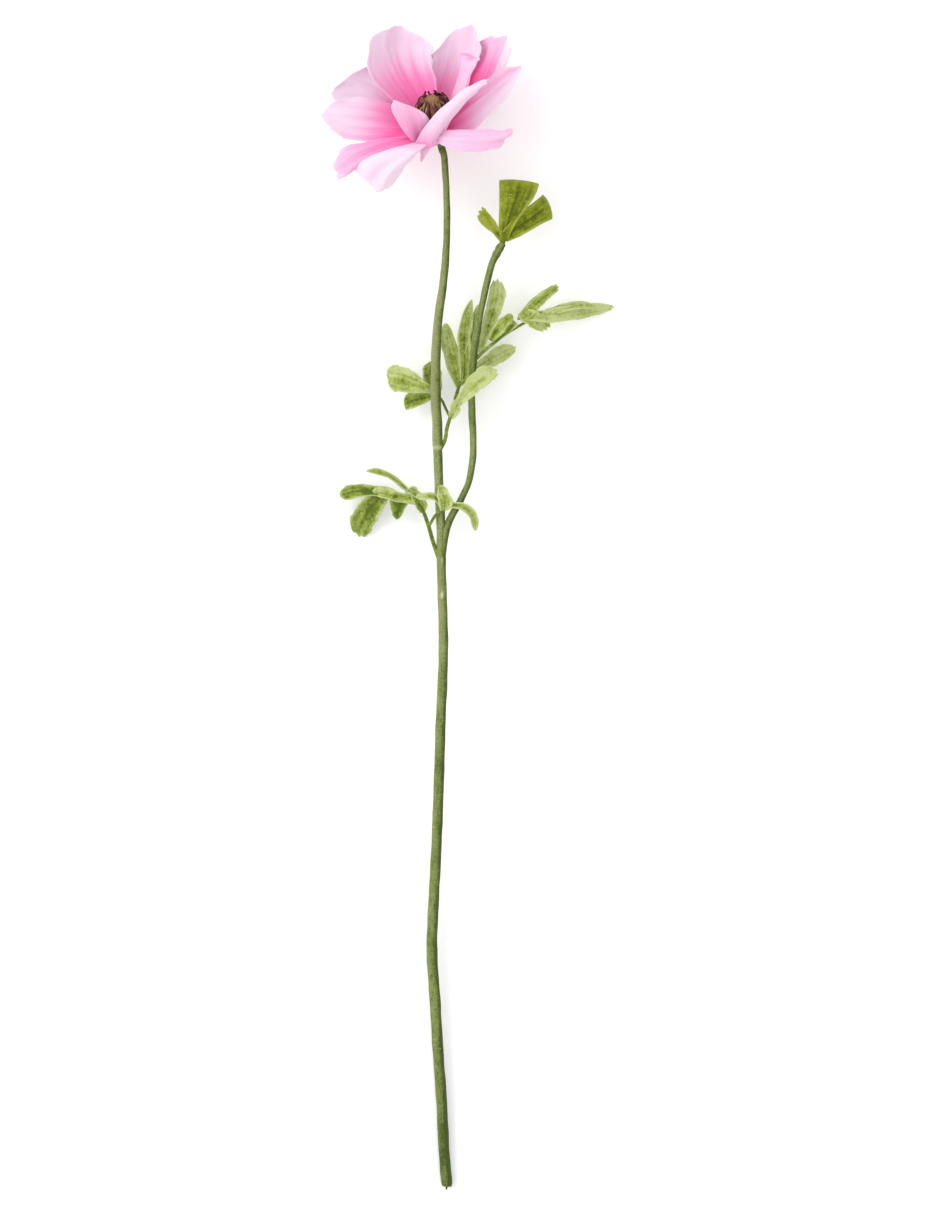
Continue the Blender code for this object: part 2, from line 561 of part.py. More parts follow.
def make_centre(parts):
    """Ribbed ball on a short foot, with a ring of stamens that arch in over it."""
    right, back, out = head_frame()
    centre = head_point()
    ball = CENTRE_RADIUS / MM
    middle = CENTRE_HEIGHT / MM
    profile = [(0.0, middle + ball)]
    for k in range(1, 10):
        angle = math.pi * k / 12
        profile.append((ball * math.sin(angle), middle + ball * math.cos(angle)))
    profile += [(2.6, middle - ball + 0.2), (2.6, 1.3), (0.0, 1.3)]
    core = axis_profile("flower_centre", profile, parts, 36, centre, None)
    coords = np.empty(len(core.data.vertices) * 3)
    core.data.vertices.foreach_get("co", coords)
    coords = coords.reshape(-1, 3) - centre
    height = coords @ out
    x = coords @ right
    y = coords @ back
    around = np.arctan2(y, x)
    radius = np.hypot(x, y)
    rib = 0.35 * MM * np.cos(12.0 * around) * ease(radius / (4.0 * MM))
    rib = rib * ease((height - 6.0 * MM) / (4.0 * MM))
    scale = 1.0 + rib / np.maximum(radius, 1e-6)
    placed = centre + (x * scale)[:, None] * right + (y * scale)[:, None] * back
    placed = placed + height[:, None] * out
    core.data.vertices.foreach_set("co", placed.ravel())
    core.data.update()
    stamens = []
    for i in range(STAMENS):
        around = 2.0 * math.pi * (i + 0.25 * math.sin(2.4 * i)) / STAMENS
        lift = 0.6 * math.sin(3.1 * i)
        side = math.cos(around) * right + math.sin(around) * back
        path = [(2.0, 4.0), (6.2, 7.4), (8.0, 11.8), (7.3, 15.6 + lift), (4.9, 17.6 + lift)]
        curve = bpy.data.curves.new("stamen", "CURVE")
        curve.dimensions = "3D"
        curve.bevel_depth = MM
        curve.bevel_resolution = 0
        curve.use_fill_caps = True
        spline = curve.splines.new("POLY")
        spline.points.add(len(path) - 1)
        for point, (r, z), size in zip(spline.points, path, (.4, .45, .5, .75, .5)):
            point.co = (*(centre + side * r * MM + out * z * MM), 1.0)
            point.radius = size
        bar = bpy.data.objects.new("stamen_curve", curve)
        parts.objects.link(bar)
        graph = bpy.context.evaluated_depsgraph_get()
        mesh = bpy.data.meshes.new_from_object(bar.evaluated_get(graph))
        stamen = add_mesh("stamen", mesh, parts)
        drop(bar)
        bm = bmesh.new()
        bm.from_mesh(mesh)
        bmesh.ops.remove_doubles(bm, verts=bm.verts, dist=1e-6)
        bmesh.ops.recalc_face_normals(bm, faces=bm.faces)
        bm.to_mesh(mesh)
        bm.free()
        stamens.append(stamen)
    core = join(core, stamens, parts)
    hole = axis_profile("socket", [(0, 7.2), (1.5, 7.2), (1.5, 0), (0, 0)], parts, 16, centre,
                        None)
    core = cut(core, hole)
    core.name = "flower_centre"
    core.data.name = "flower_centre"
    return core


def main():
    for obj in list(bpy.data.objects):
        bpy.data.objects.remove(obj, do_unlink=True)
    parts = new_collection("anemone_flower")
    stem, wire, stalk = make_stems(parts)
    low = leaf("leaf_spray_low", LEAF_LOW, parts, [MAIN_ROUTE])
    joint_route = [(438, 460, 15.9, 2.1), (437.4, 434, 16.35, 2.3)]
    mid = leaf("leaf_spray_mid", LEAF_MID, parts, [MAIN_ROUTE, STALK_ROUTE, joint_route])
    side = leaf("leaf_spray_side", LEAF_SIDE, parts, [FORK_ROUTE])
    fan = leaf("fan_leaf", LEAF_FAN, parts, [FORK_ROUTE])
    petals = make_petals(parts)
    centre = make_centre(parts)
    paint(stem, "stem_green", (0.20, 0.27, 0.07), 0.85)
    paint(stalk, "stalk_green", (0.22, 0.29, 0.09), 0.85)
    paint(wire, "wire_black", (0.01, 0.01, 0.01), 0.4, 0.8)
    paint(low, "leaf_sage", (0.33, 0.44, 0.15), 0.85)
    paint(mid, "leaf_green", (0.30, 0.40, 0.11), 0.85)
    paint(side, "leaf_pale", (0.36, 0.46, 0.18), 0.85)
    paint(fan, "leaf_olive", (0.23, 0.28, 0.02), 0.85)
    paint(petals, "petal_pink", (0.92, 0.42, 0.66), 0.7)
    paint(centre, "centre_brown", (0.16, 0.09, 0.03), 0.8)
    for obj in (stem, stalk, wire, petals, centre):
        obj.data.shade_smooth()
        obj.data.set_sharp_from_angle(angle=math.radians(40))


if __name__ == "__main__":
    main()
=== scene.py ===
"""Anemone flower stem laid on a pale floor: fabric petals, a ribbed centre with its ring of stamens,
flocked stems and lobed leaves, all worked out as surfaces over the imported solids.

Plan positions are counted on a square grid, as on a drawing seen from above, with u to the right
and w towards the foot of the stem. Heights are in millimetres above the surface.
"""
import math

import bpy
import numpy as np
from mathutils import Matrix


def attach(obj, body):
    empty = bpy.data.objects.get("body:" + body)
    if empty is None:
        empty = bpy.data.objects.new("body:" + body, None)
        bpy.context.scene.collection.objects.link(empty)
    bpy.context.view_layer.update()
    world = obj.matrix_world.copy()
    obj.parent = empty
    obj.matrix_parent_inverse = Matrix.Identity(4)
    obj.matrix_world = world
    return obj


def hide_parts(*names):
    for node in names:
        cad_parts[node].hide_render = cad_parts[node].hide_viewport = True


bl_info = {
    "name": "Anemone flower stem",
    "version": (1, 0, 0),
    "blender": (4, 5, 0),
    "location": "3D View > Sidebar > Anemone",
    "description": "Builds the petals, centre, stems and leaves of an artificial anemone stem",
    "category": "Add Mesh",
}

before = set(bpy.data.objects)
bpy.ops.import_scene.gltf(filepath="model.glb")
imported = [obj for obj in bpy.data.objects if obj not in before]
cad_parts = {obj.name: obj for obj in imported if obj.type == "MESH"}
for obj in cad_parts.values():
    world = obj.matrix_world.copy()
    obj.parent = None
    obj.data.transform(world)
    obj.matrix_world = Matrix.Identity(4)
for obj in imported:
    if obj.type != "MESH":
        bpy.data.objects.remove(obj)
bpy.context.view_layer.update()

# Plan and bloom, shared with the solids
GRID = 0.000455            # m, one step of the plan grid
MM = 0.001
ORIGIN_U = 469.0           # grid position of the frame's origin
ORIGIN_W = 608.0
EYE_HEIGHT = 4.0           # m, the plan is drawn as seen from this height over the origin
HEAD_U = 438.0             # grid position of the receptacle, where the petals meet
HEAD_W = 131.0
HEAD_HEIGHT = 28.0         # mm
HEAD_AXIS = (-0.16, 0.755, 0.635)
CENTRE_HEIGHT = 12.5       # mm along the bloom's axis
CENTRE_RADIUS = 6.6        # mm
CLAW = 2.6                 # mm, how far out a petal starts, and half its width there

# The hub, a lens in the place of the solids' one, and the ball
HUB_RADIUS = 4.4           # mm
HUB_HALF = 1.1             # mm
RIBS = 16
BALL_FOOT = 2.75           # radians from the ball's top to where it ends in the bloom

# A stamen's middle line: distance from the bloom's axis and height along it, mm
STAMEN_LINE = [(2.0, 4.2), (4.6, 5.6), (6.6, 8.0), (7.7, 11.0), (7.9, 13.6), (7.2, 15.8),
               (5.9, 17.3), (4.7, 18.0)]

# The camera's view: an upright picture, 940 x 1215 grid steps over the origin
VIEW_CENTRE = (470.0, 607.5)
VIEW_STEPS_HIGH = 1215.0
SENSOR = 36.0              # mm

# Lights as place and size, m, and the side light's share of the main light's power
MAIN_LIGHT = ((-1.8, 0.8, 1.4), 2.0)
SIDE_LIGHT = ((1.6, -0.6, 1.6), 1.6)
SIDE_SHARE = 0.12
FLOOR_HALF = 6.0           # m

# Fineness of the surfaces: rows and columns of a grid, or pieces and sides of a bar
PETAL_GRID = (56, 44)
SMALL_PETAL_GRID = (30, 24)
SMALL_PETALS = ("pointed", "front_small")
LOBE_GRID = (44, 30)
HUB_GRID = (20, 48)
BALL_GRID = (60, 192)
STAMEN_GRID = (15, 8)
ROUTE_PIECES = 8
TUBE_SIDES = 28
STALK_SIDES = 14

PETAL_WIDTH = 0.028        # m, the width at which a petal's streaks and pleats are full

# Colours that have no setting, as codes. Tones are stops of (place, code)
LEAF_SPECK = "dfe6a0"
STEM_FRECKLE = "333d10"
STEM_WARM = "8e8263"
STEM_SPECK = "e6ead0"
STEM_SCAR = "cfd3a4"
STEM_NICK = "39401c"
CENTRE_TONES = [(0.0, "2a0c08"), (0.35, "5a3014"), (0.65, "86683a"), (1.0, "a38f74")]
CENTRE_RED = "9c4650"
WIRE_TONES = [(0.3, "0b0b0c"), (0.75, "3a3a3c")]

# Routes: (u, w, height mm, radius mm). The main stem's skin starts just short of the solid's foot,
# so that the wire's end shows, and the stalk's runs on through the hub into the ball
MAIN_ROUTE = [
    (446.5, 1184.6, 2.5, 2.25), (446.5, 1180, 2.56, 2.5), (444, 1150, 3.3, 2.5),
    (441.5, 1100, 4.2, 2.5), (438, 1050, 5.1, 2.5), (435, 1000, 6, 2.5), (432, 955, 6.9, 2.5),
    (432.7, 920, 7.5, 2.45), (436.5, 845, 8.9, 2.4), (439.6, 760, 10.4, 2.35),
    (440.7, 720, 11.1, 2.3), (442.6, 680, 11.9, 2.25), (443.4, 640, 12.6, 2.2),
    (442.4, 600, 13.3, 2.15), (441.2, 560, 14, 2.15), (441, 527, 14.6, 2.1),
    (439, 490, 15.3, 2.05), (438.5, 470, 15.7, 2.05), (437.5, 448, 16.1, 2.1)]
FORK_ROUTE = [
    (441.3, 556, 14.1, 1.6), (446, 530, 14.6, 1.6), (453, 513.6, 14.9, 1.55),
    (461.8, 498, 15.2, 1.5), (469.6, 478.5, 15.6, 1.5), (473.3, 450, 16.1, 1.55),
    (472.3, 420, 16.7, 1.6), (471.6, 397, 17.1, 1.65), (472.6, 372, 17.6, 1.75),
    (474.4, 348, 18, 1.75), (478.7, 322, 18.5, 1.55), (484.4, 294, 19, 1.5),
    (491, 267, 19.5, 1.55), (498, 251, 20, 1.6), (502.5, 244, 20.3, 1.45)]
STALK_ROUTE = [
    (437.5, 446.8, 16.1, 2.3), (437.3, 425, 16.5, 2.3), (435.8, 400, 16.9, 2.3),
    (435.8, 360, 17.7, 2.2), (438.1, 320, 18.4, 2.0), (443.6, 280, 19.1, 1.85),
    (446.6, 240, 19.9, 1.6), (446.7, 200, 20.6, 1.5), (444.5, 160, 21.4, 1.5),
    (442.3, 150, 22.2, 1.7), (440.9, 143.5, 23.6, 1.75), (439.8, 139.5, 24.8, 1.6),
    (438.7, 134.5, 26.6, 1.5), (438, 131, 28, 1.2), (435.4, 118.5, 32.8, 1.1)]

# The pale ring between the two mouldings, and the swelling below the bloom where a painted
# shadow darkens the stalk: (u, w, height)
JOINT = (437.5, 447.6, 16.1)
CALYX_SHADOW = (441.9, 148, 22.0)

# The fork's bumpy sleeve and flared root: where they start and end along it, m, and height, mm
SLEEVE_START = 0.138
SLEEVE_FADE = 0.004
ROOT_END = 0.03
SLEEVE_HEIGHT = 0.35
ROOT_HEIGHT = 0.35

# Darker stretches of the stems: (y where it starts, length until full, both m, how dark). A
# negative length runs towards the foot
DARK_STRETCHES = [(0.09, 0.08, 0.12), (0.0, -0.06, 0.16), (-0.2, -0.05, 0.3)]

# Warmer stretches: one with its two ends and their fades, and a spot with its half width, m
WARM_BAND = (0.07, 0.02, 0.15, 0.03)
WARM_SPOT = (0.005, 0.02)

# Small marks on the stems: (u, w, radius mm, kind), kind 1 a pale scar and -1 a dark nick, and the
# height, mm, that their places are seen at
MARK_HEIGHT = 14.0
STEM_MARKS = [
    (442, 562, 0.9, 1), (442, 595, 0.8, 1), (442.5, 718, 0.9, 1), (439.5, 632, 0.7, -1),
    (443.5, 668, 0.6, -1), (438, 790, 0.7, -1), (441, 842, 0.6, -1), (434.5, 905, 0.7, -1),
    (431.5, 978, 0.6, -1), (438.5, 1040, 0.6, -1), (440, 1110, 0.6, -1), (437.5, 520, 0.6, -1),
    (470, 440, 0.8, -1), (463, 490, 0.7, -1), (474, 395, 0.5, -1)]

# Leaves: stalks are routes; a lobe has four rows (left u, left w, right u, right w) from its
# base to beyond its tip, heights at its base, middle and tip, the tip's fall-off, the depth of
# its teeth and how dark it is
LEAF_LOW = {
    "stalks": [
        [(440, 562, 14.2, .95), (434, 545, 15, .95), (428.5, 526, 16, .9),
         (422.5, 510, 16.5, .8), (415, 501, 16, .7)],
        [(429, 526, 16, .7), (435, 516, 17.6, .65), (442, 507, 19.4, .6)]],
    "lobes": [
        ([(417, 494, 414, 496), (401, 481.5, 398, 485), (386, 470.5, 384, 476.5),
          (366, 468, 366, 474)], (16, 19, 20), .2, .0, .25),
        ([(419, 495, 416, 499), (416, 487, 413, 496), (411, 487, 409, 494),
          (405, 489, 405, 494)], (16, 17, 17), .15, .0, .3),
        ([(424, 513, 420, 513), (427, 504, 414, 504), (424, 496, 411, 497),
          (418, 490, 412, 491)], (16, 16.5, 17), .15, .0, .35),
        ([(417, 495, 416, 505), (399, 491.5, 398, 502), (388, 487, 386, 499),
          (372, 486, 372, 497)], (16.5, 14, 11), .15, .0, .3),
        ([(392, 489, 390, 498), (374, 485.5, 372, 496.5), (358, 483.5, 355, 498.5),
          (338, 489, 341, 501)], (13, 10, 7), .12, .0, .65),
        ([(377, 492, 391, 496), (362, 500, 384, 508), (350.5, 516, 376, 524),
          (351.5, 532, 366, 540)], (12, 6, 0), .14, .025, .6),
        ([(391, 495, 411, 496), (389.5, 504, 409, 503), (391, 511, 404, 511),
          (394, 520, 401, 519)], (15, 11, 7), .15, .0, .7),
        ([(441, 503, 440, 508), (434, 493, 434, 501), (425, 492.5, 425, 499.5),
          (415, 494, 416, 500)], (19, 20, 18), .15, .0, .15),
        ([(440, 511, 449, 510), (438, 501, 453, 502), (437, 492, 449.5, 493),
          (438, 484, 445.5, 486)], (19, 21, 21), .15, .0, .15),
        ([(446, 504, 446, 510), (461, 502.5, 458, 508.5), (475, 511, 468, 516.5),
          (479, 530, 472, 532)], (19, 20, 16), .15, .0, .2)]}
LEAF_MID = {
    "stalks": [
        [(439, 452, 16.1, .85), (445, 440, 16.6, .85), (447, 428, 17.5, .85),
         (451, 415, 18.5, .8)],
        [(450.5, 418, 18.3, .6), (446, 409, 16, .6), (441, 399, 13, .6),
         (433, 392, 12, .6)],
        [(450.5, 418, 18.3, .8), (454.5, 402, 16.5, .8), (460, 382, 14, .7)]],
    "lobes": [
        ([(434, 388, 434, 396), (420, 376, 417, 393), (404, 366, 397, 392.5),
          (385, 367, 388, 383)], (12, 13, 12), .1, .015, .2),
        ([(435, 391, 434, 399), (421, 391.5, 422, 404.5), (410, 392.5, 411, 409.5),
          (403, 398, 405.5, 411)], (12, 11, 9), .14, .0, .6),
        ([(433, 394, 440, 394), (424, 382, 442.5, 384), (422, 371, 441, 371),
          (428, 361, 437, 360)], (12, 11, 11), .15, .0, .5),
        ([(456, 387, 461, 387), (446, 366, 463, 366), (441, 345, 457.5, 345),
          (441, 323, 450, 323)], (14, 12, 12), .1, .0, .15),
        ([(459, 386, 466, 382), (459, 360, 471, 360), (458, 332, 471.5, 333),
          (469, 299, 474.5, 299)], (14, 13, 12), .12, .0, .3),
        ([(464, 354, 471, 352), (469, 337, 478, 338), (472, 322, 480, 322),
          (475, 306, 480, 303)], (13, 12.5, 12), .12, .0, .35),
        ([(453, 406, 459, 407), (462, 387, 471, 398), (475, 370, 487, 386),
          (492, 364, 501, 376)], (19, 23, 21), .14, .03, -.08),
        ([(449.5, 418, 453, 419), (449, 410, 459.5, 412), (452, 403, 460, 407),
          (456, 398, 463, 402)], (18.6, 20, 21), .12, .0, .12),
        ([(461, 382, 463, 388), (478, 361, 482, 372), (495, 347.5, 500, 364),
          (513, 343, 519, 351)], (14, 10, 10), .14, .015, .0)]}
LEAF_SIDE = {
    "stalks": [
        [(475, 360, 18, .8), (480, 355, 18.1, .8), (486, 349.5, 18, .8), (502.5, 336, 17, .75),
         (514.5, 328.5, 15.5, .7), (526, 322, 14.6, .6)]],
    "lobes": [
        ([(478, 354, 486, 346), (481, 330, 493, 330), (486, 303, 504, 305),
          (492, 278, 503, 281)], (17.6, 14.6, 16), .12, .025, .1),
        ([(488, 339, 493, 342), (496, 323, 503, 333), (503, 316, 510, 324),
          (510, 312, 515, 317)], (17, 18, 18), .12, .0, .35),
        ([(505, 335, 510, 332), (505, 327, 514, 329), (509, 322, 517, 326),
          (511, 318, 516, 322)], (16.3, 17, 17), .12, .0, .35),
        ([(517, 320, 529, 320), (526, 304, 537, 311), (542, 291, 548.5, 300),
          (557, 282, 560, 291)], (15, 14, 11), .12, .025, .35),
        ([(518, 314, 529, 309), (522, 322, 538, 311), (531, 328, 547, 317),
          (541, 333, 552, 326)], (15, 14, 9), .1, .04, .25),
        ([(527, 312, 528, 321), (556, 307.5, 554, 322.5), (584, 303, 581, 319.5),
          (615, 304.5, 613, 310)], (14.6, 9, -.6), .1, .02, -.1),
        ([(546, 309, 547, 314), (562, 304, 565, 312), (577, 300.5, 581, 309),
          (595, 305, 596, 309)], (10.5, 9.5, 5.5), .12, .01, .1)]}
LEAF_FAN = {
    "stalks": [[(502, 245, 20.2, 1.1), (504, 239, 20.8, 1.05), (505.5, 232, 20.9, .8)]],
    "lobes": [
        ([(500, 242, 505, 235), (493, 234, 498, 226), (485, 227, 491, 216),
          (476, 218, 483, 205)], (20.6, 22, 24), .06, .03, .1),
        ([(500, 241, 508, 241), (499, 221, 517, 222), (499, 200, 530, 203.5),
          (499.5, 178, 540, 182)], (20.6, 22, 20), .03, .0, .5),
        ([(501, 234, 507, 242), (511, 221.5, 520, 236), (528, 207, 537, 227),
          (544.5, 192.5, 555, 217.5)], (20.6, 20.5, 15), .05, .0, .5)]}

# Petals: rows of left edge, middle and right edge points (u, w, height mm over the receptacle)
# at one third, two thirds and the whole of the length, then the tip's fall-off and its exponent,
# the edge wave in mm, its phase and the scallop of the tip
PETALS = {
    "back_left": ([[(391, 99, 3), (416, 94, -3), (437, 92, 0)],
                   [(368, 65, 5), (400, 60, -6), (433, 62, 0)],
                   [(376, 25, 6), (401, 27, -6), (433, 37, 0)]], .16, 2.6, .7, .2, .0),
    "back": ([[(430, 92, -4), (446, 92, -6), (466, 94, -1)],
              [(431, 66, -6), (455, 61, -10), (476, 63, -4)],
              [(434, 47, -6), (465, 25, -9), (487, 37, -4)]], .14, 2.0, .8, .5, .0),
    "standing": ([[(449, 101, 2), (455, 99, 9), (459, 101, 14)],
                  [(459, 72, 10), (464, 72, 16), (471, 73, 22)],
                  [(453, 46, 14), (467, 52, 20), (480, 54, 25)]], .1, 2.0, .4, .1, .0),
    "back_right": ([[(460, 96, -2), (470, 98, 0), (478, 104, 5)],
                    [(471, 60, -9), (486, 66, -3), (499, 74, 7)],
                    [(479, 40, -9), (500, 36, -3), (518, 52, 6)]], .1, 2.4, .9, .7, .03),
    "right": ([[(448, 108, 5), (458, 119, 4), (467, 133, 8)],
               [(478, 84, 13), (489, 96, 11), (492, 114, 15)],
               [(506, 62, 17), (521, 69, 18), (510, 83, 20)]], .12, 2.4, .7, .3, .0),
    "front_band": ([[(416, 142, 10), (428, 144, 10), (440, 140, 8)],
                    [(438, 111, 21), (447, 113, 24), (458, 111, 20)],
                    [(482, 82, 29), (488, 80, 31), (488, 88, 29)]], .1, 2.0, .5, .9, .0),
    "front_small": ([[(414, 142, 7), (420, 141, 8), (430, 138, 7)],
                     [(398, 122, 14), (413, 120, 17), (431, 123, 14)],
                     [(390, 100, 19), (398, 101, 21), (412, 107, 19)]], .1, 2.0, .3, .0, .0),
    "left_upper": ([[(411, 100, -5), (403, 114, -4), (395, 134, -2)],
                    [(382, 71, -6), (368, 94, -7), (358, 118, -3)],
                    [(356, 70, -2), (334, 88, -4), (329, 106, -2)]], .16, 2.2, .8, .4, .0),
    "left": ([[(404, 108, 0), (400, 124, 0), (398, 138, 5)],
              [(366, 98, 0), (362, 119, 2), (362, 141, 6)],
              [(333, 97, 3), (322, 115, 5), (330, 135, 8)]], .15, 2.4, .7, .1, .0),
    "left_lower": ([[(404, 137, 7), (404, 141, 7), (408, 147, 9)],
                    [(366, 141, 6), (370, 150, 10), (376, 157, 9)],
                    [(329, 160, 1), (337, 177, 5), (350, 180, 6)]], .1, 2.2, .7, .6, .0),
    "hanging": ([[(402, 146, 9), (414, 149, 13), (424, 147, 12)],
                 [(364, 156, 8), (389, 167, 14), (407, 164, 12)],
                 [(358, 178, 2), (378, 191, 6), (397, 187, 6)]], .14, 2.2, .6, .8, .0),
    "right_lower": ([[(440, 130, 12), (446, 138, 15), (444, 146, 13)],
                     [(480, 130, 22), (484, 139, 26), (475, 152, 22)],
                     [(512, 127, 24), (512, 132, 27), (502, 140, 24)]], .08, 2.2, .8, .5, .0),
    "pointed": ([[(420, 143, 4), (426, 146, 6), (434, 144, 4)],
                 [(420, 150, 3), (425, 152, 5), (430, 149, 3)],
                 [(420, 159, 0), (421, 162, 1), (423, 159, 0)]], .05, 2.0, .0, .0, .0),
    "under_left": ([[(411, 96, -9), (424, 96, -12), (438, 94, -11)],
                    [(392, 72, -20), (410, 66, -24), (430, 66, -21)],
                    [(388, 54, -33), (408, 44, -36), (428, 48, -34)]], .16, 2.4, .3, .3, .0),
    "under_back": ([[(436, 94, -11), (448, 94, -12), (462, 98, -9)],
                    [(438, 68, -22), (456, 66, -24), (474, 72, -19)],
                    [(440, 50, -35), (460, 44, -37), (480, 54, -33)]], .16, 2.4, .3, .8, .0),
    "under_right": ([[(458, 104, -6), (464, 112, -8), (466, 124, -6)],
                     [(480, 82, -14), (490, 94, -17), (488, 112, -14)],
                     [(494, 68, -21), (507, 80, -23), (504, 100, -21)]], .16, 2.4, .5, .6, .0)}

# How pink each petal is: at its tip, at its base, where the fading starts and how long it is
PETAL_PINK = {
    "back_left": (.14, .95, .2, .66), "back": (.12, .72, .24, .6), "standing": (.34, .6, .0, .6),
    "back_right": (.34, 1.0, .42, .5), "right": (.16, 1.0, .12, .62),
    "front_band": (.14, .75, .1, .62), "front_small": (.34, .66, .2, .8),
    "left_upper": (.04, .85, .16, .64), "left": (.07, 1.0, .22, .66),
    "left_lower": (.42, .95, .2, .7), "hanging": (.05, .35, .05, .4),
    "right_lower": (.34, .2, .02, .6), "pointed": (.35, .5, .1, .6),
    "under_left": (.16, .9, .1, .5), "under_back": (.16, .9, .1, .5),
    "under_right": (.16, .9, .1, .5)}

# Creases: (v at the base, v at the tip, height mm towards the eye, half width in v, start in t)
PETAL_CREASES = {
    "back_left": [(-.12, -.5, .75, .1, .35), (-.1, -.5, .4, .6, .3)],
    "back": [(-.3, -.45, .5, .25, .2), (.25, .35, .5, .3, .2)],
    "back_right": [(.35, .45, -1.4, .5, .25)],
    "right": [(-.15, -.12, 1.4, .25, .2)],
    "front_band": [(.1, .2, 1.0, .6, .1), (-.6, -.5, -.5, .3, .3)],
    "left": [(-.35, -.3, .7, .25, .3), (.1, .05, -.4, .15, .3), (.45, .4, -.7, .25, .3)],
    "left_upper": [(.1, .0, .7, .4, .3)],
    "left_lower": [(.1, .2, -1.0, .5, .3)],
    "hanging": [(-.12, -.1, -1.5, .3, .3), (-.55, -.6, .8, .3, .2)],
    "right_lower": [(-.1, .1, .6, .35, .1), (.6, .5, -.4, .3, .3)]}

# Changes of pink beyond a v, on its own side: (v, width, change)
PETAL_MARGINS = {
    "back_left": [(-.45, .1, -.12)], "back_right": [(.3, .2, -.38)],
    "right": [(-.12, .12, .2), (.1, .5, -.2)], "front_small": [(.5, .4, -.2)],
    "front_band": [(.2, .8, .12)],
    "left": [(.4, .5, .15)], "standing": [(-.4, .6, .1)]}

# Hollows: (t, v, depth mm away from the eye, length in t, width in v)
PETAL_DIMPLES = {
    "standing": [(.89, .05, 3.2, .05, .75)], "front_small": [(.55, .1, 2.2, .3, .6)],
    "right": [(.6, .3, .5, .3, .5)], "back_right": [(.6, -.1, 1.5, .35, .5)],
    "left_lower": [(.7, .1, 1.0, .25, .4)]}


def plan(points):
    """Frame positions of grid points (u, w, height mm): x grows with u and y against w, by one
    grid step each, both shrunk by the share of the eye's height that the point is raised."""
    points = np.asarray(points, float)
    z = points[..., 2] * MM
    shrink = 1.0 - z / EYE_HEIGHT
    x = (points[..., 0] - ORIGIN_U) * GRID * shrink
    y = (ORIGIN_W - points[..., 1]) * GRID * shrink
    return np.stack([x, y, z], axis=-1)


def unit(vectors):
    """Vectors scaled to length one."""
    vectors = np.asarray(vectors, float)
    return vectors / np.maximum(np.linalg.norm(vectors, axis=-1, keepdims=True), 1e-12)


def ease(x):
    """Smooth step: 3x squared less 2x cubed, held at 0 and 1 outside."""
    x = np.clip(x, 0.0, 1.0)
    return x * x * (3.0 - 2.0 * x)


def linear(code):
    """Linear red, green and blue of a six-digit colour code."""
    parts = [int(code[i:i + 2], 16) / 255.0 for i in (0, 2, 4)]
    return tuple(c / 12.92 if c <= 0.04045 else ((c + 0.055) / 1.055) ** 2.4 for c in parts)


def weights(stations, x):
    """Lagrange weights: each station's product of (x - other) / (station - other)."""
    out = np.ones(x.shape + (len(stations),))
    for i, a in enumerate(stations):
        for j, b in enumerate(stations):
            if i != j:
                out[..., i] *= (x - b) / (a - b)
    return out


def net_surface(net, t, v):
    """Point (t, v) of a net of four rows and three columns: the sum of its points times the
    cubic weights along t and the quadratic weights across v."""
    along = weights([0.0, 1 / 3, 2 / 3, 1.0], t)
    across = weights([-1.0, 0.0, 1.0], v)
    return np.einsum("abi,abj,ijk->abk", along, across, net)


def net_normal(net, t, v):
    """Unit cross product of the surface's steps along t and across v."""
    d = 1e-3
    ahead = net_surface(net, t + d, v) - net_surface(net, t - d, v)
    aside = net_surface(net, t, v + d) - net_surface(net, t, v - d)
    return unit(np.cross(ahead, aside))


def grid_normals(points):
    """Unit normals of a grid of points, from the differences of its neighbours."""
    along = np.gradient(points, axis=0)
    across = np.gradient(points, axis=1)
    return unit(np.cross(along, across))


def head_frame():
    """Right, back and outward directions of the bloom."""
    axis = unit(HEAD_AXIS)
    right = unit(np.array([1.0, 0.0, 0.0]) - axis * axis[0])
    return right, np.cross(axis, right), axis


def head_point():
    """Position of the receptacle."""
    return plan((HEAD_U, HEAD_W, HEAD_HEIGHT))


def about_axis(angle, radius, height):
    """Points about the bloom's axis: the receptacle plus the radius along the turned side
    direction, cos angle to the right and sin angle to the back, and the height along the axis."""
    right, back, out = head_frame()
    side = np.cos(angle)[..., None] * right + np.sin(angle)[..., None] * back
    return head_point() + radius[..., None] * side + height[..., None] * out


def end_rings(rows, columns, offset=0):
    """Corner numbers of a bar's first and last ring, turned to face outwards."""
    last = offset + (rows - 1) * columns
    return [offset + np.arange(columns), last + np.arange(columns)[::-1]]


def petal_net(rows):
    """A petal's net: its narrow claw at the receptacle, then its three rows."""
    rows = plan(rows + np.array([0.0, 0.0, HEAD_HEIGHT]))
    centre = head_point()
    axis = head_frame()[2]
    reach = rows[0, 1] - centre
    outward = unit(reach - axis * (reach @ axis))
    sideways = np.cross(axis, outward)
    turn = np.sign((rows[0, 2] - rows[0, 0]) @ sideways)
    spread = np.array([-1.0, 0.0, 1.0])[:, None] * turn * CLAW * MM
    claw = centre + outward * CLAW * MM + sideways * spread
    return np.concatenate([claw[None], rows])


